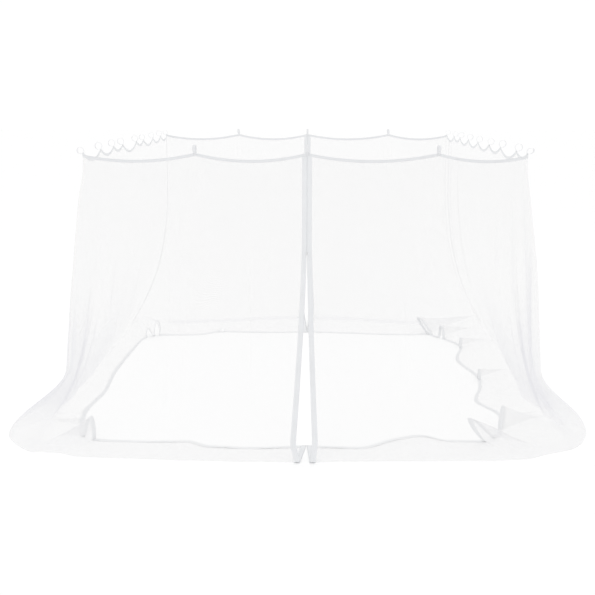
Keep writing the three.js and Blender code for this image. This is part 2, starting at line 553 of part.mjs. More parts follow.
function addStrap(group, half, row) {
  const outline = new THREE.Shape(strapOutline(row));
  const geometry = new THREE.ExtrudeGeometry(outline, { depth: STRAP_WIDTH, bevelEnabled: false });
  geometry.translate(0, 0, -STRAP_WIDTH / 2);
  const mesh = new THREE.Mesh(geometry, TAPE);
  mesh.name = `strap_${row.name}`;
  const ends = seatOf(row.at).map((at) => THREE.MathUtils.clamp(at, 0, BACK_ZIP));
  const [a, b] = ends.map((at) => clothPoint(half, at, 0));
  const [normalOut, normalY] = outward(row.at);
  const up = new THREE.Vector3(0, 0, 1);
  const out = new THREE.Vector3(normalOut * half.side, normalY, 0);
  const middle = a.add(b).multiplyScalar(0.5);
  if (row.at % BACK_ZIP === 0) middle.x = row.at === 0 ? ZIP_SHIFT.front : ZIP_SHIFT.back;
  mesh.setRotationFromMatrix(new THREE.Matrix4().makeBasis(out, up, out.clone().cross(up)));
  mesh.position.copy(middle);
  group.add(mesh);
}

// Slider and pull on a zip: two plates joined by a web in the slot between the tapes
function addSlider(group, wall, side) {
  const clear = NET_THICKNESS / 2 + GAP;
  const outer = clear + SLIDER.plate;
  const wide = SLIDER.width / 2;
  const web = SLIDER.web / 2;
  const right = [[wide, -outer], [wide, -clear], [web, -clear], [web, clear], [wide, clear], [wide, outer]];
  const left = right.map(([x, y]) => [-x, -y]);
  const section = new THREE.Shape([...right, ...left].map(([x, y]) => new THREE.Vector2(x, y)));
  const body = new THREE.ExtrudeGeometry(section, { depth: SLIDER.height, bevelEnabled: false });
  const slider = new THREE.Mesh(body, MOULDED);
  slider.name = `slider_${wall}`;
  slider.position.z = -SLIDER.height - SLIDER.drop;
  const half = PULL.width / 2;
  const tab = new THREE.Shape();
  tab.moveTo(-half, -PULL.length + PULL.corner);
  tab.lineTo(-half + PULL.corner, -PULL.length);
  tab.lineTo(half - PULL.corner, -PULL.length);
  tab.lineTo(half, -PULL.length + PULL.corner);
  tab.lineTo(half * PULL.taper, 0);
  tab.lineTo(-half * PULL.taper, 0);
  tab.holes.push(new THREE.Path().absarc(0, PULL.eye - PULL.length, PULL.hole, 0, 2 * Math.PI, true));
  const options = { depth: PULL.thickness, bevelEnabled: false, curveSegments: EYE_STEPS };
  const plate = new THREE.ExtrudeGeometry(tab, options);
  const pull = new THREE.Mesh(plate, MOULDED);
  pull.name = `pull_${wall}`;
  pull.rotation.x = Math.PI / 2;
  pull.position.set(0, -outer - GAP, -PULL.drop);
  const place = new THREE.Group();
  const nextRow = WALL_ROWS[WALL_ROWS.indexOf(SLIDER_SHARE) + 1];
  const at = wall === "front" ? 0 : BACK_ZIP;
  const [above, below] = [SLIDER_SHARE, nextRow].map((share) => wallPoint(HALVES[0], at, share));
  const slope = Math.atan2(Math.abs(below.y) - Math.abs(above.y), above.z - below.z);
  place.add(slider, pull);
  place.position.set(ZIP_SHIFT[wall], above.y, above.z);
  place.rotation.set(-slope, 0, side > 0 ? Math.PI : 0, "ZYX");
  group.add(place);
}

const hung = new THREE.Group();
for (const half of HALVES) {
  addHalf(hung, half);
  for (const row of half.straps) addStrap(hung, half, row);
}
for (const row of MIDDLE_STRAPS) addStrap(hung, HALVES[1], row);
addSlider(hung, "front", -1);
addSlider(hung, "back", 1);
hung.position.set(PLACE.x, PLACE.y, 0);

const net = new THREE.Group();
net.name = "gazebo_mosquito_net";
net.add(hung);

export default net;
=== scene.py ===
"""Gazebo mosquito net: two half curtains of fine net hung by tape straps round a 3 m square,
zipped at the front and back, with a bound hem lying inward on the floor."""
import math
from types import SimpleNamespace

import bpy
import numpy as np
from mathutils import Euler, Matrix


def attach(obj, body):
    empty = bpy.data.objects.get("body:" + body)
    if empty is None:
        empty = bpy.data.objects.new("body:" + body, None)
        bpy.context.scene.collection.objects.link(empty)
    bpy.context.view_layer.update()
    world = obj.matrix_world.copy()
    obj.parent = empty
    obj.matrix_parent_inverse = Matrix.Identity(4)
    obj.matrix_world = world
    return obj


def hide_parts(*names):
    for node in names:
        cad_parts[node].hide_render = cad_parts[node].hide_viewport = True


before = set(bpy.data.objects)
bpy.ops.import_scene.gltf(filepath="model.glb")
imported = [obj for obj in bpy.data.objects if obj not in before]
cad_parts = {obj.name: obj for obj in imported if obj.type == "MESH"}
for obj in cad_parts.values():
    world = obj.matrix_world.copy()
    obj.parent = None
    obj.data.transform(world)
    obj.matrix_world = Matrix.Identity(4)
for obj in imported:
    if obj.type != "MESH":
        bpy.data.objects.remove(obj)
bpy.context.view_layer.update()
scene = bpy.context.scene

# Sizes in millimetres, as in the solids
MM = 0.001
SPAN = 3000.0  # side of the hung square
TOP_HEIGHT = 2095.0  # at a strap
CORNER_RADIUS = 36.0  # of the top edge in plan
NET_THICKNESS = 1.5
TAPE_THICKNESS = 2.0
HEADING_WIDTH = 20.0
BINDING_WIDTH = 33.0
ZIP_TAPE_WIDTH = 33.0
GAP = 0.3  # clearance between sewn pieces
TURN = 26.0  # cloth either side of the fold at the foot
ZIP_SHIFT = {"front": 20.0, "back": 11.0}  # to the right of the middle
PLACE = np.array([30.0, 16.0, 0.0])  # hung square from the middle of the whole spread
LEAST_HEIGHT = 0.3
FLOOR_LIFT = 1.6  # middle of the skirt's thickness above the floor
SKIRT_PUFF, PUFF_WAVE = 12.0, 410.0  # loose rises of the skirt: height and spacing
# Straight flare at a front corner: strength, cloth either side, shares of the height from and to full
DRIFT_SHARE, DRIFT_REACH, DRIFT_FROM, DRIFT_FULL = 0.36, 450.0, 0.012, 0.15
# Rounded flare there: cloth either side, share of the height where it starts
EAR_REACH, EAR_FROM = 140.0, 0.73
# Places along the cloth, from the front zip round to the back zip
HALF_SPAN = SPAN / 2
FRONT_CORNER = HALF_SPAN
BACK_CORNER = HALF_SPAN + SPAN
BACK_ZIP = 2 * SPAN
# Sag of the top edge between straps of the front and back, and on a side span of this length
WALL_SAG = 47.0
SIDE_SAG, SIDE_SPAN = 45.0, 330.0
# Zips: closed down to the slider, gaping below it, and drawn in again near the floor
SLIDER_HEIGHT = 1420.0
SLIDER_SHARE = 1 - SLIDER_HEIGHT / TOP_HEIGHT
SLOT, SLOT_RUN = 1.8, 6.0  # half width at the slider, and height over which the tapes part
PARTING_SHARE = SLIDER_SHARE - SLOT_RUN / TOP_HEIGHT
GAPE_POWER, GAPE_REACH = 1.35, 520.0  # how the gape widens, and where it fades out in the net
CLOSING_FROM, CLOSING_SHARE = 0.93, 0.45
STRAP_WIDTH, STRAP_THICKNESS = 20.0, 1.5
STRAP_LEG, STRAP_NECK = 16.0, 5.0  # sewn length below the top edge, and upright length above it
STRAP_DIP = 9.0  # how much lower the outer leg turns over on a ring that lies flat
STRAP_SEAT = 12.0  # half length of the flat of heading under a strap
RING_MOUTH = math.radians(15)  # half angle of the ring's open foot
FLAP_GIVE = 2.2  # cloth that gives way beside a loop of spare hem, in half widths
FLAP_RISE, FLAP_LEAN = 1.25, 2.5  # powers by which a loop rises and leans from foot to hem
FLAP_RUN = 20.0  # length of hem that sets the direction of a loop

# Stations along the cloth: at, foot out, foot y, hem out, hem y, curl of the flare
FOOT_OUT, FOOT_Y, HEM_OUT, HEM_Y, CURL = range(1, 6)
LEFT_STATIONS = [
    (0, 12, -1768, 12, -1500, 2.4),
    (400, 430, -1768, 390, -1530, 2.4),
    (700, 780, -1756, 690, -1510, 2.5),
    (860, 960, -1750, 850, -1438, 2.6),
    (1150, 1300, -1730, 1120, -1448, 2.8),
    (1320, 1580, -1715, 1440, -1432, 4.4),
    (1430, 1900, -1660, 1556, -1412, 6),
    (1465, 2062, -1540, 1590, -1400, 7),
    (1500, 2155, -1375, 1622, -1365, 7.5),
    (1550, 2125, -1235, 1648, -1300, 6.5),
    (1620, 2020, -1120, 1680, -1193, 5.2),
    (1850, 1955, -880, 1727, -940, 3.4),
    (2400, 1940, -430, 1690, -560, 2.8),
    (3000, 1935, 70, 1725, -60, 2.8),
    (3600, 1925, 620, 1712, 470, 2.8),
    (4150, 1920, 1200, 1692, 800, 3),
    (4420, 1972, 1560, 1650, 906, 3.1),
    (4500, 1975, 1738, 1612, 925, 3.2),
    (4580, 1880, 1684, 1584, 932, 3.2),
    (4700, 1700, 1500, 1530, 955, 3),
    (4900, 1480, 1378, 1150, 980, 2.6),
    (5290, 880, 1450, 880, 1085, 2.4),
    (5650, 390, 1545, 420, 1065, 2.4),
    (6000, 12, 1565, 12, 1090, 2.4),
]
RIGHT_STATIONS = [
    (0, 12, -1768, 12, -1500, 2.4),
    (400, 430, -1748, 380, -1515, 2.4),
    (700, 760, -1740, 660, -1375, 2.5),
    (900, 970, -1732, 850, -1318, 2.6),
    (1150, 1270, -1722, 1060, -1400, 2.8),
    (1330, 1570, -1692, 1296, -1402, 4.2),
    (1430, 1840, -1585, 1378, -1345, 5.5),
    (1465, 2020, -1410, 1396, -1325, 6.2),
    (1500, 2068, -1240, 1413, -1305, 6.5),
    (1550, 2035, -1105, 1437, -1280, 5.8),
    (1620, 1945, -1010, 1474, -1223, 4.8),
    (1850, 1885, -860, 1523, -976, 3.4),
    (2200, 1842, -560, 1402, -700, 2.8),
    (2600, 1872, -240, 1485, -450, 2.8),
    (3000, 1895, 10, 1536, -190, 2.8),
    (3500, 1915, 430, 1440, 260, 2.8),
    (4000, 1925, 880, 1545, 660, 2.8),
    (4300, 1930, 1260, 1402, 912, 3),
    (4420, 1962, 1545, 1345, 965, 3.1),
    (4500, 1966, 1732, 1318, 1008, 3.2),
    (4580, 1860, 1674, 1292, 1036, 3.2),
    (4700, 1640, 1490, 1236, 1034, 3),
    (4900, 1400, 1390, 1080, 1014, 2.6),
    (5150, 1000, 1425, 850, 1020, 2.4),
    (5600, 420, 1540, 430, 1060, 2.4),
    (6000, 12, 1565, 12, 1090, 2.4),
]
# Upright folds: at, depth outward, half width, share of the height where they start and are full
LEFT_FOLDS = [
    (1385, -26, 75, 0.03, 0.4),
    (1500, 24, 70, 0.02, 0.35),
    (1640, -30, 90, 0.03, 0.45),
    (1850, 30, 110, 0.02, 0.4),
    (2090, -12, 120, 0.05, 0.5),
    (2330, 10, 130, 0.08, 0.6),
    (2740, -11, 140, 0.05, 0.55),
    (3060, 12, 120, 0.04, 0.5),
    (3400, -10, 130, 0.06, 0.6),
    (3760, 13, 110, 0.03, 0.45),
    (4080, -12, 120, 0.05, 0.5),
    (4390, -20, 80, 0.04, 0.5),
    (4620, -22, 100, 0.04, 0.5),
]
RIGHT_FOLDS = [
    (1390, -22, 80, 0.04, 0.5),
    (1500, 44, 80, 0.02, 0.45),
    (1660, -34, 95, 0.03, 0.4),
    (1880, 32, 105, 0.02, 0.4),
    (2180, -12, 130, 0.05, 0.55),
    (2520, 13, 130, 0.04, 0.5),
    (2860, -11, 120, 0.06, 0.6),
    (3180, 10, 120, 0.05, 0.5),
    (3560, -13, 140, 0.04, 0.5),
    (3920, 12, 115, 0.03, 0.45),
    (4240, -11, 110, 0.05, 0.5),
    (4420, 18, 70, 0.02, 0.4),
    (4630, -26, 100, 0.04, 0.45),
]
# Loops of spare hem that stand up: at, half width, height, lean along the hem, share of the cloth
# between the loop's feet, and swell to each side
LEFT_FLAPS = [
    (1420, 78, 176, 0, 0.22, 17),
    (1582, 62, 88, -8, 0.25, 22),
    (4420, 90, 90, 6, 0.4, 20),
    (4640, 85, 168, 4, 0.2, 24),
    (5250, 100, 40, 20, 0.3, 8),
]
RIGHT_FLAPS = [
    (1360, 82, 212, -178, 0.2, 30),
    (1600, 95, 190, 28, 0.2, 50),
    (2965, 110, 104, -20, 0.25, 12),
    (3980, 110, 108, -25, 0.25, 12),
    (4290, 80, 138, 10, 0.3, 14),
    (4540, 95, 150, 178, 0.2, 40),
]
# Hanging straps: name, at, ring's size across, height over width, lean outward in degrees
LEFT_STRAPS = [
    ("front_left", 743, 54, 1.05, 24),
    ("corner_front_left", 1550, 48, 1, 62),
    ("left_1", 1965, 55, 1, 40),
    ("left_2", 2315, 56, 1, 36),
    ("left_3", 2590, 54, 1.05, 38),
    ("left_4", 3070, 57, 1, 34),
    ("left_5", 3340, 55, 0.95, 36),
    ("left_6", 3740, 54, 1, 38),
    ("left_7", 4110, 56, 1.05, 33),
    ("corner_back_left", 4450, 50, 1, 40),
    ("back_left", 5262, 55, 1, 22),
]
RIGHT_STRAPS = [
    ("front_right", 890, 55, 1, 27),
    ("corner_front_right", 1550, 40, 1.3, 62),
    ("right_1", 1810, 56, 1, 38),
    ("right_2", 2245, 55, 1.05, 36),
    ("right_3", 2600, 56, 0.95, 37),
    ("right_4", 3000, 54, 1, 33),
    ("right_5", 3385, 57, 1, 38),
    ("right_6", 3765, 55, 1.05, 34),
    ("right_7", 4055, 54, 1, 36),
    ("corner_back_right", 4450, 50, 1, 36),
    ("back_right", 5122, 54, 1.05, 25),
]
MIDDLE_STRAPS = [("front_middle", 0, 55, 1.05, 22), ("back_middle", BACK_ZIP, 55, 1, 25)]

# Creases: at, drift along the cloth down to the foot, shares of the height from and to, half width,
# depth outward, and how much denser the gathered net looks and how much painted fold shade darkens it
LEFT_CREASES = [
    (1447, -10, 0.45, 1.1, 17, 9, 0.3),
    (1500, 0, 0.34, 1.1, 20, 8, 0.6),
    (1545, 14, 0.42, 0.93, 22, 12, 0.7),
    (1600, 40, 0.46, 0.98, 24, -10, 0.5),
    (1680, 60, 0.42, 0.99, 30, 12, 0.45),
    (1790, 60, 0.46, 1.0, 34, -12, 0.45),
    (1925, 80, 0.52, 1.0, 34, 12, 0.35),
    (1650, 40, 0.36, 1.0, 240, 0, 0.35),
    (2400, 20, 0.34, 0.68, 15, 7, 0.55),
    (3380, 20, 0.5, 0.85, 18, 7, 0.25),
    (4440, 26, -0.12, 0.98, 15, 10, 0.7),
    (4478, 14, 0.3, 0.97, 13, 8, 0.2),
]
RIGHT_CREASES = [
    (1290, 0, 0.1, 0.42, 13, 3, 0.3),
    (1390, 0, 0.08, 0.55, 13, 5, 0.35),
    (1455, -10, 0.05, 1.1, 15, 8, 0.45),
    (1542, 58, 0.2, 0.99, 22, 14, 1.0),
    (1530, -20, 0.8, 1.1, 16, 6, 0.4),
    (1600, 50, 0.4, 0.98, 26, -10, 0.5),
    (1690, 60, 0.4, 1.0, 30, 12, 0.4),
    (1800, 60, 0.46, 1.0, 34, -12, 0.45),
    (1960, 70, 0.5, 1.0, 34, 10, 0.35),
    (1680, 50, 0.38, 1.0, 240, 0, 0.35),
    (3860, -30, 0.04, 0.75, 15, 9, 0.35),
    (4210, -40, -0.12, 0.7, 14, 7, 0.45),
    (4340, -30, -0.12, 0.85, 15, 10, 0.6),
    (4485, 6, -0.12, 0.97, 14, 8, 0.5),
]

# Small creases at random places: from and to along the cloth, how many, depth either way
SMALL_CREASES = [(250, 1350, 3, 3), (2000, 4350, 6, 4), (4700, 5750, 3, 3)]
SMALL_START, SMALL_END = (0.25, 0.55), (0.8, 0.97)  # shares of the height
SMALL_SLANT, SMALL_WIDTH = (-40, 40), (14, 26)
# Pleats under each strap
PLEAT_OFFSETS, PLEAT_START, PLEAT_END = (-26, 22), 0.014, (0.12, 0.3)
PLEAT_WIDTH, PLEAT_DEPTH = 17, 5.5
# Low ridges of the skirt at random places: from and to along the cloth, how many, height
SKIRT_RIDGES = [
    (150, 1350, 12, 7), (1350, 1800, 9, 15), (1800, 4350, 26, 8), (4350, 4800, 9, 14), (4800, 5850, 10, 7),
]
RIDGE_SLANT, RIDGE_WIDTH = (-70, 70), (16, 34)
UNEVEN, PLEAT_UNEVEN = (0.5, 1), (0.6, 1)  # shares of the full depth or height
# Shares of the height over which a crease deepens, looks denser and darker with painted fold shade, and dies
# out
CREASE_GROW, DENSITY_SHADE_GROW, CREASE_FADE = 0.12, 0.3, 0.1
CREST_POWER = 0.8  # below 1, crests of the skirt lie nearer to the foot

# Denser feet, darkened with painted fold shade: strength, where along the cloth they begin and fade out,
# shares of the height
SIDE_BEGINS = (1400, 1600)
DENSER_SHADED_FEET = [
    (0.72, SIDE_BEGINS, (2500, 3900), (0.48, 0.95)),
    (0.5, (4700, 4950), (BACK_ZIP, BACK_ZIP + 1), (0.972, 0.99)),
]
# The ear is thinner again and less darkened by painted fold shade: by how much, cloth either side, shares of
# the height
EAR_THINNER_PALER, EAR_THIN_REACH, EAR_THINS = 0.65, 300, (0.86, 0.98)
# Density and painted fold shade of the skirt of the front and back, that of the sides, and share of it where
# the wall's density and shade end
SKIRT_DENSER_SHADED, SKIRT_SIDE, SKIRT_BLEND = 0.2, 0.06, 0.08
# Loops of the hem, denser and darkened with painted fold shade: strength, reach in half widths, height of one
# that is densest
LOOP_DENSER_SHADED, LOOP_REACH, LOOP_FULL = 0.22, 1.3, 120

rng = np.random.default_rng(11)


def random_creases(straps):
    """Small creases of one half, and the pleats under its straps."""
    rows = []
    for low, high, count, depth in SMALL_CREASES:
        for at in np.sort(rng.uniform(low, high, count)):
            start, end = rng.uniform(*SMALL_START), rng.uniform(*SMALL_END)
            sign = rng.choice((-1, 1))
            slant, width = rng.uniform(*SMALL_SLANT), rng.uniform(*SMALL_WIDTH)
            rows.append((at, slant, start, end, width, sign * depth * rng.uniform(*UNEVEN), 0))
    for _, at, *_ in straps:
        for offset in PLEAT_OFFSETS:
            end, depth = rng.uniform(*PLEAT_END), PLEAT_DEPTH * rng.uniform(*PLEAT_UNEVEN)
            rows.append((at + offset, offset, PLEAT_START, end, PLEAT_WIDTH, depth, 0))
    return rows


def random_ridges():
    """Low ridges of one half's skirt."""
    rows = []
    for low, high, count, height in SKIRT_RIDGES:
        for at in np.sort(rng.uniform(low, high, count)):
            slant, width = rng.uniform(*RIDGE_SLANT), rng.uniform(*RIDGE_WIDTH)
            rows.append((at, slant, width, height * rng.uniform(*UNEVEN)))
    return rows


def half_of(name, side, stations, folds, flaps, straps, creases, gape):
    """One half of the net; gape is how far its front and back zip stand open at the foot."""
    return SimpleNamespace(
        name=name, side=side, stations=np.array(stations, float), folds=folds, flaps=flaps, straps=straps,
        creases=creases + random_creases(straps), ridges=random_ridges(), gape=gape,
    )


LEFT = half_of("left", -1, LEFT_STATIONS, LEFT_FOLDS, LEFT_FLAPS, LEFT_STRAPS, LEFT_CREASES, (80, 40))
RIGHT = half_of("right", 1, RIGHT_STATIONS, RIGHT_FOLDS, RIGHT_FLAPS, RIGHT_STRAPS, RIGHT_CREASES, (44, 46))

# The cloth as a surface


def lerp(a, b, t):
    return a + (b - a) * t


def smooth(low, high, x):
    """A soft step from 0 at low to 1 at high."""
    t = np.clip((x - low) / (high - low), 0, 1)
    return t * t * (3 - 2 * t)


def bump(x):
    """A round hump of height 1 between -1 and 1."""
    return np.where(np.abs(x) < 1, np.cos(np.pi * np.clip(x, -1, 1) / 2) ** 2, 0)


def station(half, column, at):
    """A column of the station table at a distance along the cloth, by a cubic that never overshoots."""
    x, y = half.stations[:, 0], half.stations[:, column]
    slope = np.diff(y) / np.diff(x)
    before, after = slope[:-1], slope[1:]
    total = np.where(before * after > 0, before + after, 1)
    inner = np.where(before * after > 0, 2 * before * after / total, 0)
    knots = np.concatenate([slope[:1], inner, slope[-1:]])
    i = np.clip(np.searchsorted(x, at, side="right") - 1, 0, len(slope) - 1)
    run = x[i + 1] - x[i]
    t = np.clip((at - x[i]) / run, 0, 1)
    rise, start, end = y[i + 1] - y[i], knots[i] * run, knots[i + 1] * run
    return y[i] + t * (start + t * (3 * rise - 2 * start - end + t * (start + end - 2 * rise)))


def top_plan(at):
    """The top edge in plan: distance from the middle plane, and place from front to back."""
    def sharp(a):
        out = np.where(a < FRONT_CORNER, a, np.where(a < BACK_CORNER, HALF_SPAN, BACK_ZIP - a))
        y = np.where(a < FRONT_CORNER, -HALF_SPAN, np.where(a < BACK_CORNER, a - SPAN, HALF_SPAN))
        return np.stack([out, y])

    plan = sharp(at)
    for corner in (FRONT_CORNER, BACK_CORNER):
        t = np.clip((at - corner + CORNER_RADIUS) / (2 * CORNER_RADIUS), 0, 1)
        a, b, c = (sharp(np.full_like(at, corner + k * CORNER_RADIUS)) for k in (-1, 0, 1))
        rounded = lerp(lerp(a, b, t), lerp(b, c, t), t)
        plan = np.where(np.abs(at - corner) < CORNER_RADIUS, rounded, plan)
    return plan


PROBE_AT, PROBE_DOWN = 1.0, 0.001  # steps along and down the cloth that give its directions


def outward(at):
    """Outward direction of the wall in plan."""
    d = top_plan(np.minimum(BACK_ZIP, at + PROBE_AT)) - top_plan(np.maximum(0, at - PROBE_AT))
    d = d / np.hypot(d[0], d[1])
    return d[1], -d[0]


def top_height(half, at):
    """Height of the top edge, which sags between straps."""
    supports = np.array([0.0, *(place for _, place, *_ in half.straps), BACK_ZIP])
    i = np.clip(np.searchsorted(supports, at, side="right"), 1, len(supports) - 1)
    a, b = supports[i - 1], supports[i]
    on_side = (a >= FRONT_CORNER) & (b <= BACK_CORNER)
    sag = np.where(on_side, SIDE_SAG * (b - a) / SIDE_SPAN, WALL_SAG)
    t = (at - a) / (b - a)
    return TOP_HEIGHT - 4 * sag * t * (1 - t)


def gape(half, at, share):
    """How far the cloth stands away from the zip's middle line."""
    below = np.maximum(0, (share - SLIDER_SHARE) / (1 - SLIDER_SHARE))
    closing = 1 - CLOSING_SHARE * smooth(CLOSING_FROM, 1, share)
    slot = SLOT * smooth(PARTING_SHARE, SLIDER_SHARE, share)
    front = 1 - smooth(0, GAPE_REACH, at)
    back = 1 - smooth(0, GAPE_REACH, BACK_ZIP - at)
    opening = below**GAPE_POWER * closing
    return slot * (front + back) + opening * (half.gape[0] * front + half.gape[1] * back)


def zip_distance(at):
    return np.minimum(at, BACK_ZIP - at)


def beside_zip(at):
    """0 to 1 over the strip beside a zip that hangs straight down."""
    return smooth(0, 2 * ZIP_TAPE_WIDTH, zip_distance(at))


def crease(place, slant, start, end, width, at, share, grow):
    """How far a crease has grown, 0 to 1, at a place on the wall."""
    grown = smooth(start, start + grow, share) * (1 - smooth(end - CREASE_FADE, end, share))
    return bump((at - place - slant * share) / width) * grown


def gather_and_shade(half, at, down):
    """How much denser the gathered net looks and how much painted fold shade darkens it, 0 to 1."""
    share, inward = np.clip(down, 0, 1), np.clip(down - 1, 0, 1)
    total = 0
    for strength, begins, fades, grows in DENSER_SHADED_FEET:
        total = total + strength * smooth(*begins, at) * (1 - smooth(*fades, at)) * smooth(*grows, share)
    for *row, _, density_and_shade in half.creases:
        total = total + density_and_shade * crease(*row, at, share, DENSITY_SHADE_GROW)
    ear = EAR_THINNER_PALER * bump((at - FRONT_CORNER) / EAR_THIN_REACH) * smooth(*EAR_THINS, share)
    skirt_density_and_shade = lerp(SKIRT_DENSER_SHADED, SKIRT_SIDE, smooth(*SIDE_BEGINS, at))
    total = lerp(total * (1 - ear), skirt_density_and_shade, smooth(0, SKIRT_BLEND, inward))
    for place, width, height, *_ in half.flaps:
        ridge = np.sin(np.pi * inward**CREST_POWER) * min(1, height / LOOP_FULL)
        total = total + LOOP_DENSER_SHADED * bump((at - place) / (LOOP_REACH * width)) * ridge
    return np.clip(total, 0, 1)


def wall(half, at, share):
    """The wall at a share of its height, from the top edge (0) to the foot (1): out, y, z."""
    top_out, top_y = top_plan(at)
    normal_out, normal_y = outward(at)
    drift = DRIFT_SHARE * bump((at - FRONT_CORNER) / DRIFT_REACH)
    straight = share * smooth(DRIFT_FROM, DRIFT_FULL, share)
    ear = bump((at - FRONT_CORNER) / EAR_REACH)
    curled = lerp(share ** station(half, CURL, at), smooth(EAR_FROM, 1, share), ear)
    flare = lerp(curled, straight, drift)
    foot_out = lerp(top_out, station(half, FOOT_OUT, at), beside_zip(at))
    fold = 0
    for place, depth, width, start, full in half.folds:
        fold = fold + depth * bump((at - place) / width) * smooth(start, full, share)
    fine = 0
    for *row, depth, _ in half.creases:
        fine = fine + depth * crease(*row, at, share, CREASE_GROW)
    fold = fold + fine * beside_zip(at)
    out = lerp(top_out, foot_out, flare) + fold * normal_out + gape(half, at, share)
    y = lerp(top_y, station(half, FOOT_Y, at), flare) + fold * normal_y
    z = lerp(top_height(half, at), FLOOR_LIFT, share)
    return np.stack(np.broadcast_arrays(out, y, z), -1)


def hem_run(half, at):
    """Direction of the hem in plan."""
    ends = at + np.array([-FLAP_RUN, FLAP_RUN]) / 2
    run = np.array([np.diff(station(half, column, ends))[0] for column in (HEM_OUT, HEM_Y)])
    return run / np.hypot(*run)


def skirt(half, at, share):
    """The skirt at a share of the way from the foot (0) to the hem (1): out, y, z."""
    foot = wall(half, at, np.ones_like(at))
    hem_at, rise, shift = at, 0, [0, 0]
    for place, width, height, lean, neck, swell in half.flaps:
        x = (at - place) / width
        hem_at = hem_at - (1 - neck) * (1 - smooth(1, FLAP_GIVE, np.abs(x))) * (at - place)
        along = lean * bump(x) + np.where(np.abs(x) < 1, swell * np.sin(np.pi * x), 0)
        shift = [s + part * along for s, part in zip(shift, hem_run(half, place))]
        rise = rise + height * bump(x)
    zip_edge = zip_distance(at) + SLOT * (1 - beside_zip(at))
    hem_out = lerp(zip_edge, station(half, HEM_OUT, hem_at), beside_zip(at))
    hem_y = station(half, HEM_Y, hem_at)
    puff = SKIRT_PUFF * np.sin(np.pi * share) * np.sin(np.pi * at / PUFF_WAVE) ** 2
    ridge = 0
    for place, slant, width, height in half.ridges:
        ridge = ridge + height * bump((at - place - slant * share) / width)
    ridge = ridge * np.sin(np.pi * np.clip(share, 0, 1) ** CREST_POWER) * beside_zip(at)
    z = FLOOR_LIFT + rise * np.maximum(share, 0) ** FLAP_RISE + puff + ridge
    lean = np.maximum(share, 0) ** FLAP_LEAN
    out = lerp(foot[..., 0], hem_out, share) + shift[0] * lean
    y = lerp(foot[..., 1], hem_y, share) + shift[1] * lean
    return np.stack(np.broadcast_arrays(out, y, z), -1)


def skirt_length(half, at):
    ends = [skirt(half, at, np.full_like(at, float(k))) for k in (0, 1)]
    return np.linalg.norm(ends[1] - ends[0], axis=-1)


def turns(half, at):
    """Where the round fold at the foot starts on the wall and ends on the skirt."""
    return 1 - TURN / top_height(half, at), 1 + TURN / skirt_length(half, at)


def cloth(half, at, down):
    """The middle of the cloth in millimetres: down runs 0 to 1 over the wall and 1 to 2 over the skirt."""
    start, end = turns(half, at)
    t = np.clip((down - start) / (end - start), 0, 1)[..., None]
    tip = wall(half, at, np.ones_like(at))
    before, after = wall(half, at, start), skirt(half, at, end - 1)
    turn = lerp(lerp(before, tip, t), lerp(tip, after, t), t)
    point = np.where(
        (down <= start)[..., None],
        wall(half, at, np.clip(down, 0, 1)),
        np.where((down >= end)[..., None], skirt(half, at, np.clip(down - 1, 0, 1)), turn),
    )
    front = np.maximum(0, 1 - at / HALF_SPAN)
    back = np.maximum(0, 1 - (BACK_ZIP - at) / HALF_SPAN)
    point[..., 0] = point[..., 0] * half.side + ZIP_SHIFT["front"] * front + ZIP_SHIFT["back"] * back
    return point


def unit(v):
    return v / np.maximum(np.linalg.norm(v, axis=-1, keepdims=True), 1e-9)


def cloth_frame(half, at, down):
    """The cloth's point with the directions along it, down it and square to it, outward or up."""
    before, after = np.maximum(0, at - PROBE_AT), np.minimum(BACK_ZIP, at + PROBE_AT)
    above, below = np.maximum(0, down - PROBE_DOWN), np.minimum(2, down + PROBE_DOWN)
    along = unit(cloth(half, after, down) - cloth(half, before, down))
    drop = unit(cloth(half, at, below) - cloth(half, at, above))
    return cloth(half, at, down), along, drop, unit(np.cross(along, drop)) * half.side


def run_length(points, axis=0):
    """Distance covered at each point of a line of points, or along an axis of a grid."""
    steps = np.linalg.norm(np.diff(points, axis=axis), axis=-1)
    start = np.zeros_like(steps.take([0], axis))
    return np.concatenate([start, np.cumsum(steps, axis)], axis)


# Meshes


def grid_faces(columns, rows, closed=False):
    """Quads of a grid of points numbered column by column; closed joins the last row to the first."""
    i, j = np.meshgrid(np.arange(columns - 1), np.arange(rows if closed else rows - 1), indexing="ij")
    k = (j + 1) % rows
    return np.stack([i * rows + j, (i + 1) * rows + j, (i + 1) * rows + k, i * rows + k], -1).reshape(-1, 4)


# Material numbers within a mesh; the third is a tape painted paler, as painted light
MAIN_KIND, THREAD_KIND, PAINTED_LIT_KIND = range(3)


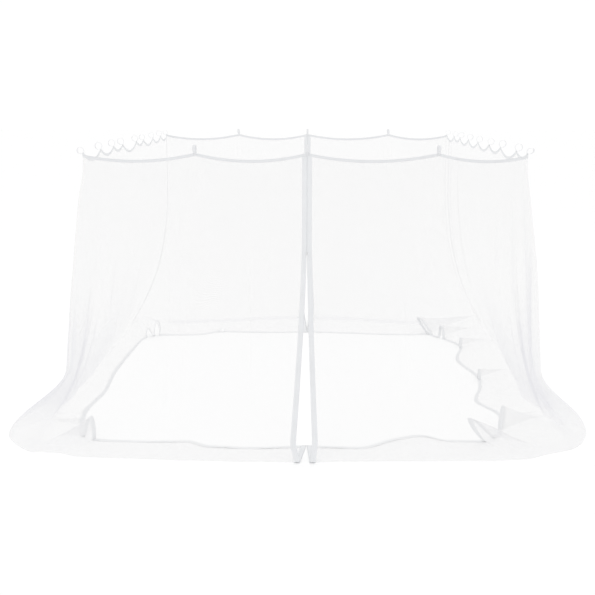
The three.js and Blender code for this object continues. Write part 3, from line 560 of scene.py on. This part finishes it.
class Builder:
    """Collects pieces of one mesh, each with a material number."""

    def __init__(self):
        self.points, self.uvs, self.faces, self.kinds, self.count = [], [], [], [], 0

    def add(self, points, uvs, faces, kind=MAIN_KIND):
        self.points.append(np.asarray(points, float).reshape(-1, 3))
        self.uvs.append(np.asarray(uvs, float).reshape(-1, 2))
        self.faces.extend([[v + self.count for v in f] for f in faces])
        self.kinds.extend(np.broadcast_to(kind, len(faces)).tolist())
        self.count += len(self.points[-1])

    def tube(self, rings, uvs, kind=MAIN_KIND):
        """Rings of points joined along, with capped ends; kind may differ at each step."""
        n, k = rings.shape[:2]
        caps = [list(range(k))[::-1], [(n - 1) * k + i for i in range(k)]]
        steps = np.broadcast_to(kind, n - 1)
        kinds = np.concatenate([np.repeat(steps, k), steps[[0, -1]]])
        self.add(rings, uvs, grid_faces(n, k, True).tolist() + caps, kinds)

    def make(self, name, materials):
        """A smooth mesh from points and UVs in millimetres."""
        mesh = bpy.data.meshes.new(name)
        points = np.concatenate(self.points) + PLACE
        points[:, 2] = np.maximum(points[:, 2], LEAST_HEIGHT)
        mesh.from_pydata((points * MM).tolist(), [], self.faces)
        layer = mesh.uv_layers.new(name="cloth")
        corner = np.zeros(len(mesh.loops), np.int32)
        mesh.loops.foreach_get("vertex_index", corner)
        uvs = np.concatenate(self.uvs).astype(np.float32)
        layer.data.foreach_set("uv", (uvs[corner] * MM).ravel())
        mesh.polygons.foreach_set("use_smooth", np.ones(len(mesh.polygons), bool))
        for material in materials:
            mesh.materials.append(material)
        mesh.polygons.foreach_set("material_index", np.array(self.kinds, np.int32))
        mesh.update()
        obj = bpy.data.objects.new(name, mesh)
        scene.collection.objects.link(obj)
        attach(obj, "root")
        return obj


STITCH_WIDE, STITCH_HIGH = 0.5, 0.42  # half width and height of a stitch


def stitches(builder, points, along, normal, spacing, length):
    """A row of thread stitches on a line of points, each a slim lozenge half sunk in the tape."""
    steps = run_length(points)
    places = np.arange(spacing, steps[-1] - spacing, spacing)

    def sample(values):
        return np.stack([np.interp(places, steps, values[:, k]) for k in range(3)], -1)

    p, t, n = sample(points), unit(sample(along)), unit(sample(normal))
    end, side, top = t * length / 2, np.cross(t, n) * STITCH_WIDE, n * STITCH_HIGH
    lozenge = np.stack([p - end, p + side, p + top, p - side, p + end, p - top], 1)
    faces = []
    for i in range(len(places)):
        a, b, c, d, e, f = range(6 * i, 6 * i + 6)
        faces += [(a, b, c), (a, c, d), (e, c, b), (e, d, c), (a, f, b), (a, d, f), (e, b, f), (e, f, d)]
    uvs = np.repeat(np.stack([places, np.zeros_like(places)], -1), 6, 0)
    builder.add(lozenge, uvs, faces, THREAD_KIND)


# Materials
SPECULAR = 0.25


class Tree:
    """A node material with a few short ways to add nodes."""

    def __init__(self, name, roughness, sheen=0.0):
        self.material = bpy.data.materials.new(name)
        self.material.use_nodes = True
        self.nodes, self.links = self.material.node_tree.nodes, self.material.node_tree.links
        self.shader = self.nodes["Principled BSDF"]
        self.shader.inputs["Roughness"].default_value = roughness
        self.shader.inputs["Sheen Weight"].default_value = sheen
        self.shader.inputs["Specular IOR Level"].default_value = SPECULAR

    def put(self, socket, value):
        if isinstance(value, bpy.types.NodeSocket):
            self.links.new(value, socket)
        else:
            socket.default_value = value

    def look(self, name, value):
        self.put(self.shader.inputs[name], value)

    def node(self, kind, *values, **settings):
        """A new node with its settings made and its first inputs filled."""
        node = self.nodes.new("ShaderNode" + kind)
        for name, value in settings.items():
            setattr(node, name, value)
        for socket, value in zip(node.inputs, values):
            self.put(socket, value)
        return node

    def math(self, operation, a, b=0.0):
        return self.node("Math", a, b, operation=operation).outputs[0]

    def uv(self):
        """Along the cloth and across it, in metres."""
        coordinates = self.node("UVMap", uv_map="cloth")
        return self.node("SeparateXYZ", coordinates.outputs[0]).outputs[:2]

    def attribute(self, name):
        """A number stored at each point of the mesh."""
        return self.node("Attribute", attribute_name=name).outputs["Fac"]

    def noise(self, scale, detail=3.0):
        """Even noise in the object's own space."""
        noise = self.node("TexNoise", self.node("TexCoord").outputs["Object"])
        noise.inputs["Scale"].default_value = scale
        noise.inputs["Detail"].default_value = detail
        return noise.outputs["Fac"]

    def span(self, value, low, high, to_low=0.0, to_high=1.0):
        """A soft step from to_low at low to to_high at high."""
        values = (value, low, high, to_low, to_high)
        return self.node("MapRange", *values, interpolation_type="SMOOTHSTEP").outputs[0]

    def mix(self, share, a, b):
        node = self.node("Mix", share, data_type="RGBA")
        for socket, colour in ((node.inputs[6], a), (node.inputs[7], b)):
            self.put(socket, colour if isinstance(colour, bpy.types.NodeSocket) else (*colour, 1.0))
        return node.outputs[2]

    def bump(self, height, strength, distance):
        node = self.nodes.new("ShaderNodeBump")
        node.inputs["Strength"].default_value = strength
        node.inputs["Distance"].default_value = distance
        self.links.new(height, node.inputs["Height"])
        self.links.new(node.outputs[0], self.shader.inputs["Normal"])

    def ripple(self, value, pitch):
        """1 on evenly pitched lines, 0 midway between them."""
        wave = self.math("COSINE", self.math("MULTIPLY", value, 2 * math.pi / pitch))
        return self.math("ADD", self.math("MULTIPLY", wave, 0.5), 0.5)


NOISE_LOW, NOISE_HIGH = 0.3, 0.7  # most of a noise lies between these
NET_PITCH, NET_SLANT = 0.0024, math.radians(58)  # from thread to thread in metres, and their slope
NET_HOLE, NET_THREAD = 0.10, (0.47, 0.51)  # opacity of holes and of threads
NET_GATHER = 0.55  # how much of the light left the densest net takes
# The third colour is painted fold shade: a darker, lavender grey for the net where it is gathered
NET_LIGHT, NET_DARK, NET_FOLD_SHADE = (0.87, 0.868, 0.87), (0.852, 0.85, 0.853), (0.755, 0.755, 0.795)


def net_material():
    """Sheer knitted net: two sets of slanted threads over open holes, a little uneven from place to place,
    denser where gathered and darkened there with painted fold shade.
    """
    tree = Tree("sheer_net", roughness=0.85, sheen=0.15)
    u, v = tree.uv()
    lines = []
    for sign in (1, -1):
        along = tree.math("MULTIPLY", u, math.sin(NET_SLANT))
        across = tree.math("ADD", along, tree.math("MULTIPLY", v, sign * math.cos(NET_SLANT)))
        lines.append(tree.span(tree.ripple(across, NET_PITCH), low=0.55, high=0.85))
    threads = tree.math("MAXIMUM", *lines)
    cloud = tree.noise(scale=1.7)
    denser_and_shaded = tree.attribute("gather_and_shade")
    thread_alpha = tree.span(cloud, NOISE_LOW, NOISE_HIGH, *NET_THREAD)
    alpha = tree.math("MAXIMUM", tree.math("MULTIPLY", threads, thread_alpha), NET_HOLE)
    room = tree.math("SUBTRACT", 1.0, alpha)
    filled = tree.math("MULTIPLY", room, tree.math("MULTIPLY", denser_and_shaded, NET_GATHER))
    tree.look("Alpha", tree.math("ADD", alpha, filled))
    plain = tree.mix(cloud, NET_DARK, NET_LIGHT)
    # Painted fold shade: the net's colour darkens to a lavender grey where the gathered net is denser
    tree.look("Base Color", tree.mix(denser_and_shaded, plain, NET_FOLD_SHADE))
    tree.bump(threads, strength=0.15, distance=0.0002)
    return tree.material


def woven_material(name, light, dark, warp, weft, edge):
    """Woven tape: over-and-under yarns, a firmer edge on each side and slightly uneven dye."""
    tree = Tree(name, roughness=0.8, sheen=0.2)
    u, v = tree.uv()
    over = tree.math("MULTIPLY", tree.ripple(u, weft), tree.ripple(v, warp))
    next_u, next_v = tree.math("ADD", u, weft / 2), tree.math("ADD", v, warp / 2)
    under = tree.math("MULTIPLY", tree.ripple(next_u, weft), tree.ripple(next_v, warp))
    weave = tree.math("MAXIMUM", over, under)
    rib = tree.span(tree.ripple(v, edge), low=0.75, high=0.97, to_high=0.35)
    shade = tree.math("SUBTRACT", tree.span(weave, low=0.05, high=0.8, to_low=0.15), rib)
    worn = tree.mix(tree.noise(scale=9.0), dark, light)
    tree.look("Base Color", tree.mix(shade, dark, worn))
    tree.look("Roughness", tree.span(weave, low=0.0, high=1.0, to_low=0.9, to_high=0.7))
    tree.bump(weave, strength=0.35, distance=0.0004)
    return tree.material


PLY_SLOPE = 0.7


def yarn_material(name, light, dark, pitch):
    """Twisted thread or coil wire: fine slanted plies."""
    tree = Tree(name, roughness=0.55, sheen=0.1)
    u, v = tree.uv()
    ply = tree.ripple(tree.math("ADD", u, tree.math("MULTIPLY", v, PLY_SLOPE)), pitch)
    tree.look("Base Color", tree.mix(ply, dark, light))
    tree.bump(ply, strength=0.3, distance=0.0003)
    return tree.material


def moulded_material(name, light, dark):
    """Moulded plastic: fine grain, with polish that varies a little."""
    tree = Tree(name, roughness=0.4)
    grain = tree.noise(scale=900.0)
    tree.look("Base Color", tree.mix(tree.noise(scale=60.0), dark, light))
    tree.look("Roughness", tree.span(grain, NOISE_LOW, NOISE_HIGH, to_low=0.32, to_high=0.5))
    tree.bump(grain, strength=0.08, distance=0.0002)
    return tree.material


# Metres between the warp yarns, weft yarns and firm edges of each weave
TAPE_YARNS = (0.0014, 0.0011, 0.02)
ZIP_YARNS = (0.0011, 0.0009, 0.011)
STRAP_YARNS = (0.0016, 0.0014, 0.02)
NET = net_material()
TAPE = woven_material("woven_tape", (0.865, 0.875, 0.89), (0.74, 0.75, 0.765), *TAPE_YARNS)
# Painted light: the same binding tape painted paler, for the front and back stretches of the hem
PAINTED_LIT_TAPE = woven_material("painted_lit_woven_tape", (0.91, 0.92, 0.93), (0.80, 0.81, 0.82), *TAPE_YARNS)
ZIP = woven_material("zip_tape_weave", (0.90, 0.91, 0.925), (0.755, 0.765, 0.78), *ZIP_YARNS)
STRAP = woven_material("strap_webbing", (0.88, 0.885, 0.90), (0.77, 0.775, 0.79), *STRAP_YARNS)
# Painted light: the side straps' webbing is the same as the others, painted paler
SIDE_STRAP_PAINTED_LIGHTER = woven_material("side_strap_webbing", (0.93, 0.935, 0.945), (0.86, 0.865, 0.875), *STRAP_YARNS)
THREAD = yarn_material("sewing_thread", (0.90, 0.91, 0.925), (0.80, 0.81, 0.825), pitch=0.0012)
COIL = yarn_material("zip_coil_wire", (0.88, 0.895, 0.91), (0.76, 0.775, 0.79), pitch=0.0016)
MOULDED = moulded_material("moulded_plastic", (0.97, 0.97, 0.97), (0.92, 0.92, 0.925))

# Net
EDGE = GAP / 2
SEAM = EDGE + ZIP_TAPE_WIDTH
SEAM_LAP = 4  # how far the net reaches under a zip tape
NET_UNDER = SEAM - SEAM_LAP
NET_COLUMNS = 800
NET_ROWS, ZIP_ROWS = (66, 8, 34), (120, 8, 26)  # rows on the wall, the turn and the skirt
ROW_POWER = 1.25


def down_rows(half, at, wall_rows, turn_rows, skirt_rows):
    """Rows from the top edge to the hem for each place along the cloth, closer together at the foot."""
    start, end = turns(half, at)
    low = start * (1 - (1 - np.linspace(0, 1, wall_rows, endpoint=False)) ** ROW_POWER)
    turn = lerp(start, end, np.linspace(0, 1, turn_rows, endpoint=False))
    return np.concatenate([low, turn, lerp(end, 2.0, np.linspace(0, 1, skirt_rows))], 1)


def add_net(half):
    """The net of one half, with its density and painted fold shade stored at each point."""
    at = np.linspace(NET_UNDER, BACK_ZIP - NET_UNDER, NET_COLUMNS)[:, None]
    down = down_rows(half, at, *NET_ROWS)
    points = cloth(half, at, down)
    run = run_length(points, axis=1)
    uvs = np.stack([np.broadcast_to(at, run.shape), run], -1)
    faces = grid_faces(*down.shape)
    if half.side > 0:
        faces = faces[:, ::-1]
    builder = Builder()
    builder.add(points, uvs, faces.tolist())
    obj = builder.make(f"net_{half.name}_cloth", [NET])
    density_and_shade = np.broadcast_to(gather_and_shade(half, at, down), run.shape)
    denser_and_shaded = obj.data.attributes.new("gather_and_shade", "FLOAT", "POINT")
    denser_and_shaded.data.foreach_set("value", density_and_shade.astype(np.float32).ravel())
    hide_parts(f"net_{half.name}")
    return obj


def section(edge, flat, thin):
    """A strip's rounded cross-section: share of the width across it, and side of it from -1 to 1."""
    upper = [(0, 0), (edge, thin), (flat, 1), (0.5, 1), (1 - flat, 1), (1 - edge, thin)]
    return np.array(upper + [(1 - x, -y) for x, y in upper])


# Tapes
TAPE_SECTION = section(edge=0.012, flat=0.04, thin=0.75)
TAPE_STEP = 6.0
# Rows of stitches: shares of the width where they run, then spacing and length of a stitch
TAPE_SEAMS, TAPE_STITCH = (0.14, 0.86), (11.0, 8.0)
ZIP_SEAMS, ZIP_STITCH = (0.55, 0.9), (9.0, 6.5)


def sweep(half, at, down, thickness):
    """Rings of a tape's section round the cloth at places given for each ring and section point."""
    point, _, _, normal = cloth_frame(half, at, down)
    return point + normal * (TAPE_SECTION[:, 1] * thickness / 2)[None, :, None]


def add_tape(half, name, node, low, high, width, ends, painted_lit=()):
    """A tape along the cloth between two rows, with a row of stitches near each edge on both faces."""
    at = np.linspace(ends, BACK_ZIP - ends, int((BACK_ZIP - 2 * ends) / TAPE_STEP))[:, None]
    rings = sweep(half, at, lerp(low(at), high(at), TAPE_SECTION[None, :, 0]), TAPE_THICKNESS)
    builder = Builder()
    uvs = np.stack(np.broadcast_arrays(at, TAPE_SECTION[None, :, 0] * width), -1)
    kind = np.full(len(at) - 1, MAIN_KIND)
    # Stretches given here get the same tape painted paler, as painted light
    for first, last in painted_lit:
        kind[(at[1:, 0] > first) & (at[:-1, 0] < last)] = PAINTED_LIT_KIND
    builder.tube(rings, uvs, kind)
    for share in TAPE_SEAMS:
        line, run, _, out = cloth_frame(half, at[:, 0], lerp(low(at), high(at), share)[:, 0])
        for face in (1, -1):
            stitches(builder, line + out * face * TAPE_THICKNESS / 2, run, out * face, *TAPE_STITCH)
    obj = builder.make(name, [TAPE, THREAD, PAINTED_LIT_TAPE] if len(painted_lit) else [TAPE, THREAD])
    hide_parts(node)
    return obj


# Zips
COIL_PITCH, COIL_WIRE = 2.6, 0.42  # from turn to turn, and radius of the wire
COIL_TURN_STEPS, COIL_WIRE_STEPS = 6, 4
COIL_IN, COIL_ACROSS, COIL_OUT = 1.0, 1.7, 1.25  # middle from the tape's edge, half width and half height


def add_zip(half, wall_name):
    """A zip tape down one upright edge of a half, with its coil and seam stitches."""
    start, inward = (0.0, 1) if wall_name == "front" else (BACK_ZIP, -1)
    across = start + inward * (EDGE + TAPE_SECTION[:, 0] * ZIP_TAPE_WIDTH)
    edge = np.array([[start + inward * EDGE]])
    down = down_rows(half, edge, *ZIP_ROWS)[0][:, None]
    rings = sweep(half, across[None, :], down, NET_THICKNESS)
    run = run_length(cloth(half, np.array([start + inward * SEAM / 2]), down[:, 0]))
    builder = Builder()
    uvs = np.stack(np.broadcast_arrays(run[:, None], TAPE_SECTION[None, :, 0] * ZIP_TAPE_WIDTH), -1)
    builder.tube(rings, uvs)
    for share in ZIP_SEAMS:
        place = np.array([start + inward * (EDGE + share * ZIP_TAPE_WIDTH)])
        line, _, drop, out = cloth_frame(half, place, down[:, 0])
        for face in (1, -1):
            stitches(builder, line + out * face * NET_THICKNESS / 2, drop, out * face, *ZIP_STITCH)
    tape = builder.make(f"zip_{wall_name}_{half.name}_tape", [ZIP, THREAD])
    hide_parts(f"zip_tape_{wall_name}_{half.name}", f"zip_foot_{wall_name}_{half.name}")
    coil = add_coil(half, f"zip_{wall_name}_{half.name}_coil", start, inward, down[:, 0], run)
    return [tape, coil]


def add_coil(half, name, start, inward, down, run):
    """The coil of a zip: one wire wound round the edge of the tape."""
    turns_count = int(run[-1] / COIL_PITCH) - 2
    angle = np.linspace(0, 2 * math.pi * turns_count, turns_count * COIL_TURN_STEPS + 1)
    if half.side > 0:
        angle = angle + math.pi
    spread = run[-1] / (run[-1] + 2 * COIL_PITCH) * COIL_PITCH
    place = COIL_PITCH + spread * (angle - angle[0]) / (2 * math.pi)
    rows = np.interp(place, run, down)
    point, along, drop, normal = cloth_frame(half, np.array([start + inward * (EDGE + COIL_IN)]), rows)
    side = along * inward * COIL_ACROSS
    centre = point - side * np.cos(angle)[:, None] + normal * COIL_OUT * np.sin(angle)[:, None]
    tangent = unit(np.gradient(centre, axis=0))
    first = unit(np.cross(tangent, drop))
    second = np.cross(tangent, first)
    turn = np.linspace(0, 2 * math.pi, COIL_WIRE_STEPS, endpoint=False)
    ring = first[:, None] * np.cos(turn)[None, :, None] + second[:, None] * np.sin(turn)[None, :, None]
    rings = centre[:, None] + COIL_WIRE * ring
    uvs = np.stack(np.broadcast_arrays((angle * COIL_ACROSS)[:, None], (turn * COIL_WIRE)[None, :]), -1)
    builder = Builder()
    builder.tube(rings, uvs)
    return builder.make(name, [COIL])


# Straps
STRAP_SECTION = section(edge=0.015, flat=0.05, thin=0.8)
RING_STEPS, LEG_POINTS = 44, 5
SOFTENINGS = 3  # of the corners between ring and legs
# A soft loop leans a little along the bar and twists
LOOP_SKEW, LOOP_TWIST, SKEW_POWER = 5, 0.16, 1.3
# Stitches of a leg: heights of the rows across it, places of those up it, spacing and length of each
LEG_SEAMS, LEG_STITCH = np.linspace(-13.5, -3, 6), (3.4, 3.0)
SIDE_SEAMS, SIDE_STITCH = (-7.6, 7.6), (3.6, 3.0)
UP = np.array([0.0, 0, 1])


def strap_path(across, tall, lean):
    """Centre line of a strap in its own plane (outward, up): two legs and a ring that leans outward."""
    leg = (TAPE_THICKNESS + STRAP_THICKNESS) / 2 + GAP
    wide, high = across / 2 - STRAP_THICKNESS, across / 2 * tall - STRAP_THICKNESS
    shoulder = STRAP_NECK - STRAP_DIP * math.sin(lean)
    turn = np.linspace(math.pi - RING_MOUTH, RING_MOUTH - math.pi, RING_STEPS)
    x, y = wide * np.sin(turn), high * (np.cos(turn) + 1)
    ring_out = x * math.cos(lean) + y * math.sin(lean)
    ring_up = STRAP_NECK + y * math.cos(lean) - x * math.sin(lean)
    outer, inner = (
        np.stack([np.full(LEG_POINTS, sign * leg), np.linspace(-STRAP_LEG, top, LEG_POINTS)], -1)
        for sign, top in ((1, shoulder), (-1, STRAP_NECK))
    )
    path = np.concatenate([outer, np.stack([ring_out, ring_up], -1), inner[::-1]])
    k = LEG_POINTS - 1
    for _ in range(SOFTENINGS):
        path[k:-k] = (path[k - 1:-k - 1] + 2 * path[k:-k] + path[k + 1:1 - k]) / 4
    return path


def sew_strap(builder, foot, out, along):
    """Rows of stitches across and up both legs of a strap."""
    across = along * np.linspace(-STRAP_WIDTH / 2, STRAP_WIDTH / 2, LEG_POINTS)[:, None]
    upward = UP * np.linspace(-STRAP_LEG, 0, LEG_POINTS)[:, None]
    rows = [(UP * height, across, along, LEG_STITCH) for height in LEG_SEAMS]
    rows += [(along * side, upward, UP, SIDE_STITCH) for side in SIDE_SEAMS]
    for sign in (1, -1):
        leg = foot + out * sign * (TAPE_THICKNESS / 2 + STRAP_THICKNESS + GAP)
        face = np.tile(out * sign, (LEG_POINTS, 1))
        for place, line, run, stitch in rows:
            stitches(builder, leg + place + line, np.tile(run, (LEG_POINTS, 1)), face, *stitch)


def add_strap(half, strap):
    """A loop of webbing over the heading, sewn on by its two legs."""
    name, at, across, tall, lean = strap
    ends = np.clip(np.array([at - STRAP_SEAT, at + STRAP_SEAT], float), 0, BACK_ZIP)
    foot = cloth(half, ends, np.zeros(2)).mean(0)
    for wall_name, place in (("front", 0), ("back", BACK_ZIP)):
        if at == place:
            foot[0] = ZIP_SHIFT[wall_name]
    normal_out, normal_y = outward(np.array([float(at)]))
    out = np.array([normal_out[0] * half.side, normal_y[0], 0])
    along = np.cross(out, UP)
    path = strap_path(across, tall, math.radians(lean))
    tangent = unit(np.gradient(path, axis=0))
    face = tangent[:, 1:] * out - tangent[:, :1] * UP
    height = np.clip(path[:, 1] / across, 0, None)
    skew, twist = rng.uniform(-LOOP_SKEW, LOOP_SKEW), rng.uniform(-LOOP_TWIST, LOOP_TWIST)
    centre = foot + path[:, :1] * out + path[:, 1:] * UP + (skew * height**SKEW_POWER)[:, None] * along
    angle = (twist * height)[:, None]
    wide = along * np.cos(angle) + out * np.sin(angle)
    rings = (
        centre[:, None]
        + wide[:, None] * ((STRAP_SECTION[:, 0] - 0.5) * STRAP_WIDTH)[None, :, None]
        + face[:, None] * (STRAP_SECTION[:, 1] * STRAP_THICKNESS / 2)[None, :, None]
    )
    builder = Builder()
    place_across = STRAP_SECTION[None, :, 0] * STRAP_WIDTH
    builder.tube(rings, np.stack(np.broadcast_arrays(run_length(path)[:, None], place_across), -1))
    sew_strap(builder, foot, out, along)
    # Straps on the sides get the same webbing painted paler, as painted light
    webbing = SIDE_STRAP_PAINTED_LIGHTER if FRONT_CORNER <= at <= BACK_CORNER else STRAP
    obj = builder.make(f"strap_{name}_loop", [webbing, THREAD])
    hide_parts(f"strap_{name}")
    return obj


# Slider and pull, in their own frame: x across the zip, y inward, z up, the slider's top at z = 0.
# Each outline is the right half of a plate.
SLIDER_CLEAR = NET_THICKNESS / 2 + GAP  # from the middle of the zip to a plate
PLATE = 2.0
SLIDER_TOP, SLIDER_FOOT = -1.0, -17.0
SHIELD = [(3.6, SLIDER_TOP), (4.6, -6), (6, SLIDER_FOOT + 3.5), (5.2, SLIDER_FOOT), (1.6, SLIDER_FOOT + 0.8)]
POST, POST_SUNK = [(1.2, SLIDER_FOOT + 1), (0.7, SLIDER_FOOT + 6)], 0.2
# Bridge that holds the pull: middle, reach up and down, rise, depth sunk, half width and half thickness
BRIDGE_MIDDLE, BRIDGE_REACH, BRIDGE_RISE, BRIDGE_SUNK = -6.2, 4.2, 2.9, 0.3
BRIDGE_WIDE, BRIDGE_THICK, BRIDGE_STEPS, BRIDGE_ROUND = 1.5, 0.7, 13, 8
PULL_DROP, PULL_LONG, PULL_THICK, PULL_HOLE, PULL_EYE = 4.0, 30.0, 1.2, 1.8, 5.4
TAB = [(2.8, 0), (4, -PULL_LONG)]
RIB, RIB_RISE, RIB_SUNK = [(1.6, -4), (2.2, -19)], 0.45, 0.2
CORNER_LIMIT = 0.45  # most of an outline's side that one rounded corner takes
HOLE_STEPS = 40


def rounded(right, radius, steps=5):
    """A closed outline from its right half, with its corners rounded."""
    left = [(-x, z) for x, z in right]
    outline = np.array([left[0], *right, *left[:0:-1]], float)
    points = []
    for before, corner, after in zip(np.roll(outline, 1, 0), outline, np.roll(outline, -1, 0)):
        near = []
        for end in (before, after):
            reach = min(radius, CORNER_LIMIT * np.linalg.norm(end - corner))
            near.append(corner + unit(end - corner) * reach)
        for t in np.linspace(0, 1, steps):
            points.append(lerp(lerp(near[0], corner, t), lerp(corner, near[1], t), t))
    return np.array(points)


def slab(builder, outline, low, high, soft):
    """A plate over an outline in x and z, from low to high in y, with soft edges."""
    middle = outline.mean(0)
    reach = np.linalg.norm(outline - middle, axis=1, keepdims=True)
    inset = middle + (outline - middle) * (1 - soft / reach)
    rings = []
    for shape, y in ((inset, low), (outline, low + soft), (outline, high - soft), (inset, high)):
        rings.append(np.stack([shape[:, 0], np.full(len(shape), y), shape[:, 1]], -1))
    rings = np.array(rings)
    builder.tube(rings, rings[..., ::2] + rings[..., 1:2])


def holed_tab(builder, outline, centre, radius, low, high, soft):
    """A plate like slab with a round hole."""
    angle = np.linspace(0, 2 * math.pi, HOLE_STEPS, endpoint=False)
    rays = np.stack([np.cos(angle), np.sin(angle)], -1)
    edge = np.roll(outline, -1, 0) - outline
    normal = np.stack([-edge[:, 1], edge[:, 0]], -1)
    depth = ((outline - centre) * normal).sum(1)
    far = (depth / np.maximum(rays @ normal.T, 1e-9)).min(1, keepdims=True)
    profile = [
        (far - soft, low), (far, low + soft), (far, high - soft), (far - soft, high),
        (radius + soft, high), (radius, high - soft), (radius, low + soft), (radius + soft, low),
    ]
    loops = []
    for reach, y in profile:
        flat = centre + rays * reach
        loops.append(np.stack([flat[:, 0], np.full(HOLE_STEPS, y), flat[:, 1]], -1))
    loops = np.array(loops).transpose(1, 0, 2)
    faces = grid_faces(HOLE_STEPS + 1, len(profile), True) % (HOLE_STEPS * len(profile))
    builder.add(loops, loops[..., ::2], faces.tolist())


def slider_body():
    """A slider's two plates, with the post between them and the bridge on the outer one."""
    builder = Builder()
    outer = SLIDER_CLEAR + PLATE
    shield = rounded(SHIELD, radius=1.6)
    slab(builder, shield, -outer, -SLIDER_CLEAR, soft=0.5)
    slab(builder, shield, SLIDER_CLEAR, outer, soft=0.5)
    post = SLIDER_CLEAR + POST_SUNK
    slab(builder, rounded(POST, radius=0.5), -post, post, soft=0.1)
    arch = np.linspace(0, math.pi, BRIDGE_STEPS)
    rise = -outer + BRIDGE_SUNK - BRIDGE_RISE * np.sin(arch)
    centre = np.stack([np.zeros(BRIDGE_STEPS), rise, BRIDGE_MIDDLE + BRIDGE_REACH * np.cos(arch)], -1)
    lift = np.cross(unit(np.gradient(centre, axis=0)), [1.0, 0, 0])[:, None] * BRIDGE_THICK
    turn = np.linspace(0, 2 * math.pi, BRIDGE_ROUND, endpoint=False)[None, :, None]
    rings = centre[:, None] + np.cos(turn) * np.array([BRIDGE_WIDE, 0, 0]) + np.sin(turn) * lift
    builder.tube(rings, rings[..., 1:])
    return builder


def pull_tab():
    """A pull: a tapered tab with an eye at its foot and a rib down its face."""
    builder = Builder()
    back = -SLIDER_CLEAR - PLATE - GAP
    face = back - PULL_THICK
    eye = np.array([0, PULL_EYE - PULL_LONG])
    holed_tab(builder, rounded(TAB, radius=2.2), eye, PULL_HOLE, face, back, soft=0.25)
    slab(builder, rounded(RIB, radius=1.2), face - RIB_RISE, face + RIB_SUNK, soft=0.25)
    return builder


def add_slider(wall_name):
    """A slider on a zip and its pull, which hang along the slope of the zip."""
    at = np.array([0.0 if wall_name == "front" else BACK_ZIP])
    above, below = (wall(LEFT, at, np.array([share]))[0] for share in (SLIDER_SHARE, 0.5))
    slope = math.atan2(abs(below[1]) - abs(above[1]), above[2] - below[2])
    turn = np.array(Euler((-slope, 0, 0 if wall_name == "front" else math.pi)).to_matrix())
    place = np.array([ZIP_SHIFT[wall_name], above[1], above[2]])
    for builder, drop, name, node in (
        (slider_body(), 0, f"slider_{wall_name}_body", f"slider_{wall_name}"),
        (pull_tab(), -PULL_DROP, f"pull_{wall_name}_tab", f"pull_{wall_name}"),
    ):
        builder.points = [(p + (0, 0, drop)) @ turn.T + place for p in builder.points]
        obj = builder.make(name, [MOULDED])
        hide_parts(node)


# All the pieces


def hem_row(at):
    return np.full_like(at, 2.0)


def heading_row(half):
    return lambda at: HEADING_WIDTH / top_height(half, at)


def binding_row(half):
    return lambda at: 2 - BINDING_WIDTH / skirt_length(half, at)


# Stretches of the hem, along the cloth, whose binding is painted paler, as painted light: front and back
PAINTED_LIT_HEM = ((0, 1300), (4720, BACK_ZIP))
for wall_name in ("front", "back"):
    add_slider(wall_name)
middle = [add_strap(RIGHT, strap) for strap in MIDDLE_STRAPS]
for half in (LEFT, RIGHT):
    net = add_net(half)
    net.visible_shadow = net.visible_diffuse = False
    heading = add_tape(
        half, f"heading_{half.name}_tape", f"heading_{half.name}",
        np.zeros_like, heading_row(half), HEADING_WIDTH, EDGE,
    )
    binding = add_tape(
        half, f"hem_{half.name}_binding", f"hem_binding_{half.name}",
        binding_row(half), hem_row, BINDING_WIDTH, SEAM + GAP, PAINTED_LIT_HEM,
    )
    trim = [heading, binding]
    for wall_name in ("front", "back"):
        trim += add_zip(half, wall_name)
    straps = [add_strap(half, strap) for strap in half.straps]

# Stage: floor, light and camera, in metres
FLOOR = 60.0  # half of the floor's side
FLOOR_CORNERS = [(x * FLOOR, y * FLOOR, 0) for x, y in ((-1, -1), (1, -1), (1, 1), (-1, 1))]
floor_mesh = bpy.data.meshes.new("floor")
floor_mesh.from_pydata(FLOOR_CORNERS, [], [(0, 1, 2, 3)])
floor = bpy.data.objects.new("floor", floor_mesh)
scene.collection.objects.link(floor)
paint = Tree("pale_floor", roughness=0.9)
paint.shader.inputs["Base Color"].default_value = (0.99, 0.99, 0.99, 1)
floor_mesh.materials.append(paint.material)

SKY_STRENGTH = 1.014
world = bpy.data.worlds.new("studio")
world.use_nodes = True
sky = world.node_tree.nodes["Background"]
sky.inputs["Color"].default_value = (1, 1, 1, 1)
sky.inputs["Strength"].default_value = SKY_STRENGTH
scene.world = world

LIGHT_AIM, LIGHT_SIZE = (0, 0, 0.8), 4.0


def area_light(name, place, power):
    """A round soft light turned towards the middle of the net."""
    data = bpy.data.lights.new(name, "AREA")
    data.shape = "DISK"
    data.size, data.energy = LIGHT_SIZE, power
    light = bpy.data.objects.new(name, data)
    light.location = place
    x, y, z = np.array(LIGHT_AIM) - np.array(place)
    light.rotation_euler = Euler((math.atan2(np.hypot(x, y), -z), 0, math.atan2(y, x) - math.pi / 2))
    scene.collection.objects.link(light)


area_light("key", place=(-5.5, -5.0, 6.5), power=18)
area_light("fill", place=(6.0, 3.0, 5.0), power=8)

CAMERA_PLACE, CAMERA_REACH = (0.071, -6.319, 2.424), 200
CAMERA_YAW, CAMERA_PITCH = math.radians(1.01), math.radians(9.69)
# Focal length, height of the optical axis above the frame's middle and frame in pixels, and sensor in mm
FOCAL_PX, AXIS_ABOVE_PX, FRAME_PX, SENSOR = 720.7, 71.4, 595.0, 36.0
NET_LAYERS = 48  # most layers of net that a line of sight passes through
camera_data = bpy.data.cameras.new("camera")
camera_data.sensor_width = SENSOR
camera_data.lens = SENSOR * FOCAL_PX / FRAME_PX
camera_data.shift_y = -AXIS_ABOVE_PX / FRAME_PX
camera_data.clip_end = CAMERA_REACH
camera = bpy.data.objects.new("camera", camera_data)
camera.location = CAMERA_PLACE
camera.rotation_euler = (math.pi / 2 - CAMERA_PITCH, 0, CAMERA_YAW)
scene.collection.objects.link(camera)
scene.camera = camera
scene.view_settings.view_transform = "Standard"
scene.cycles.transparent_max_bounces = NET_LAYERS
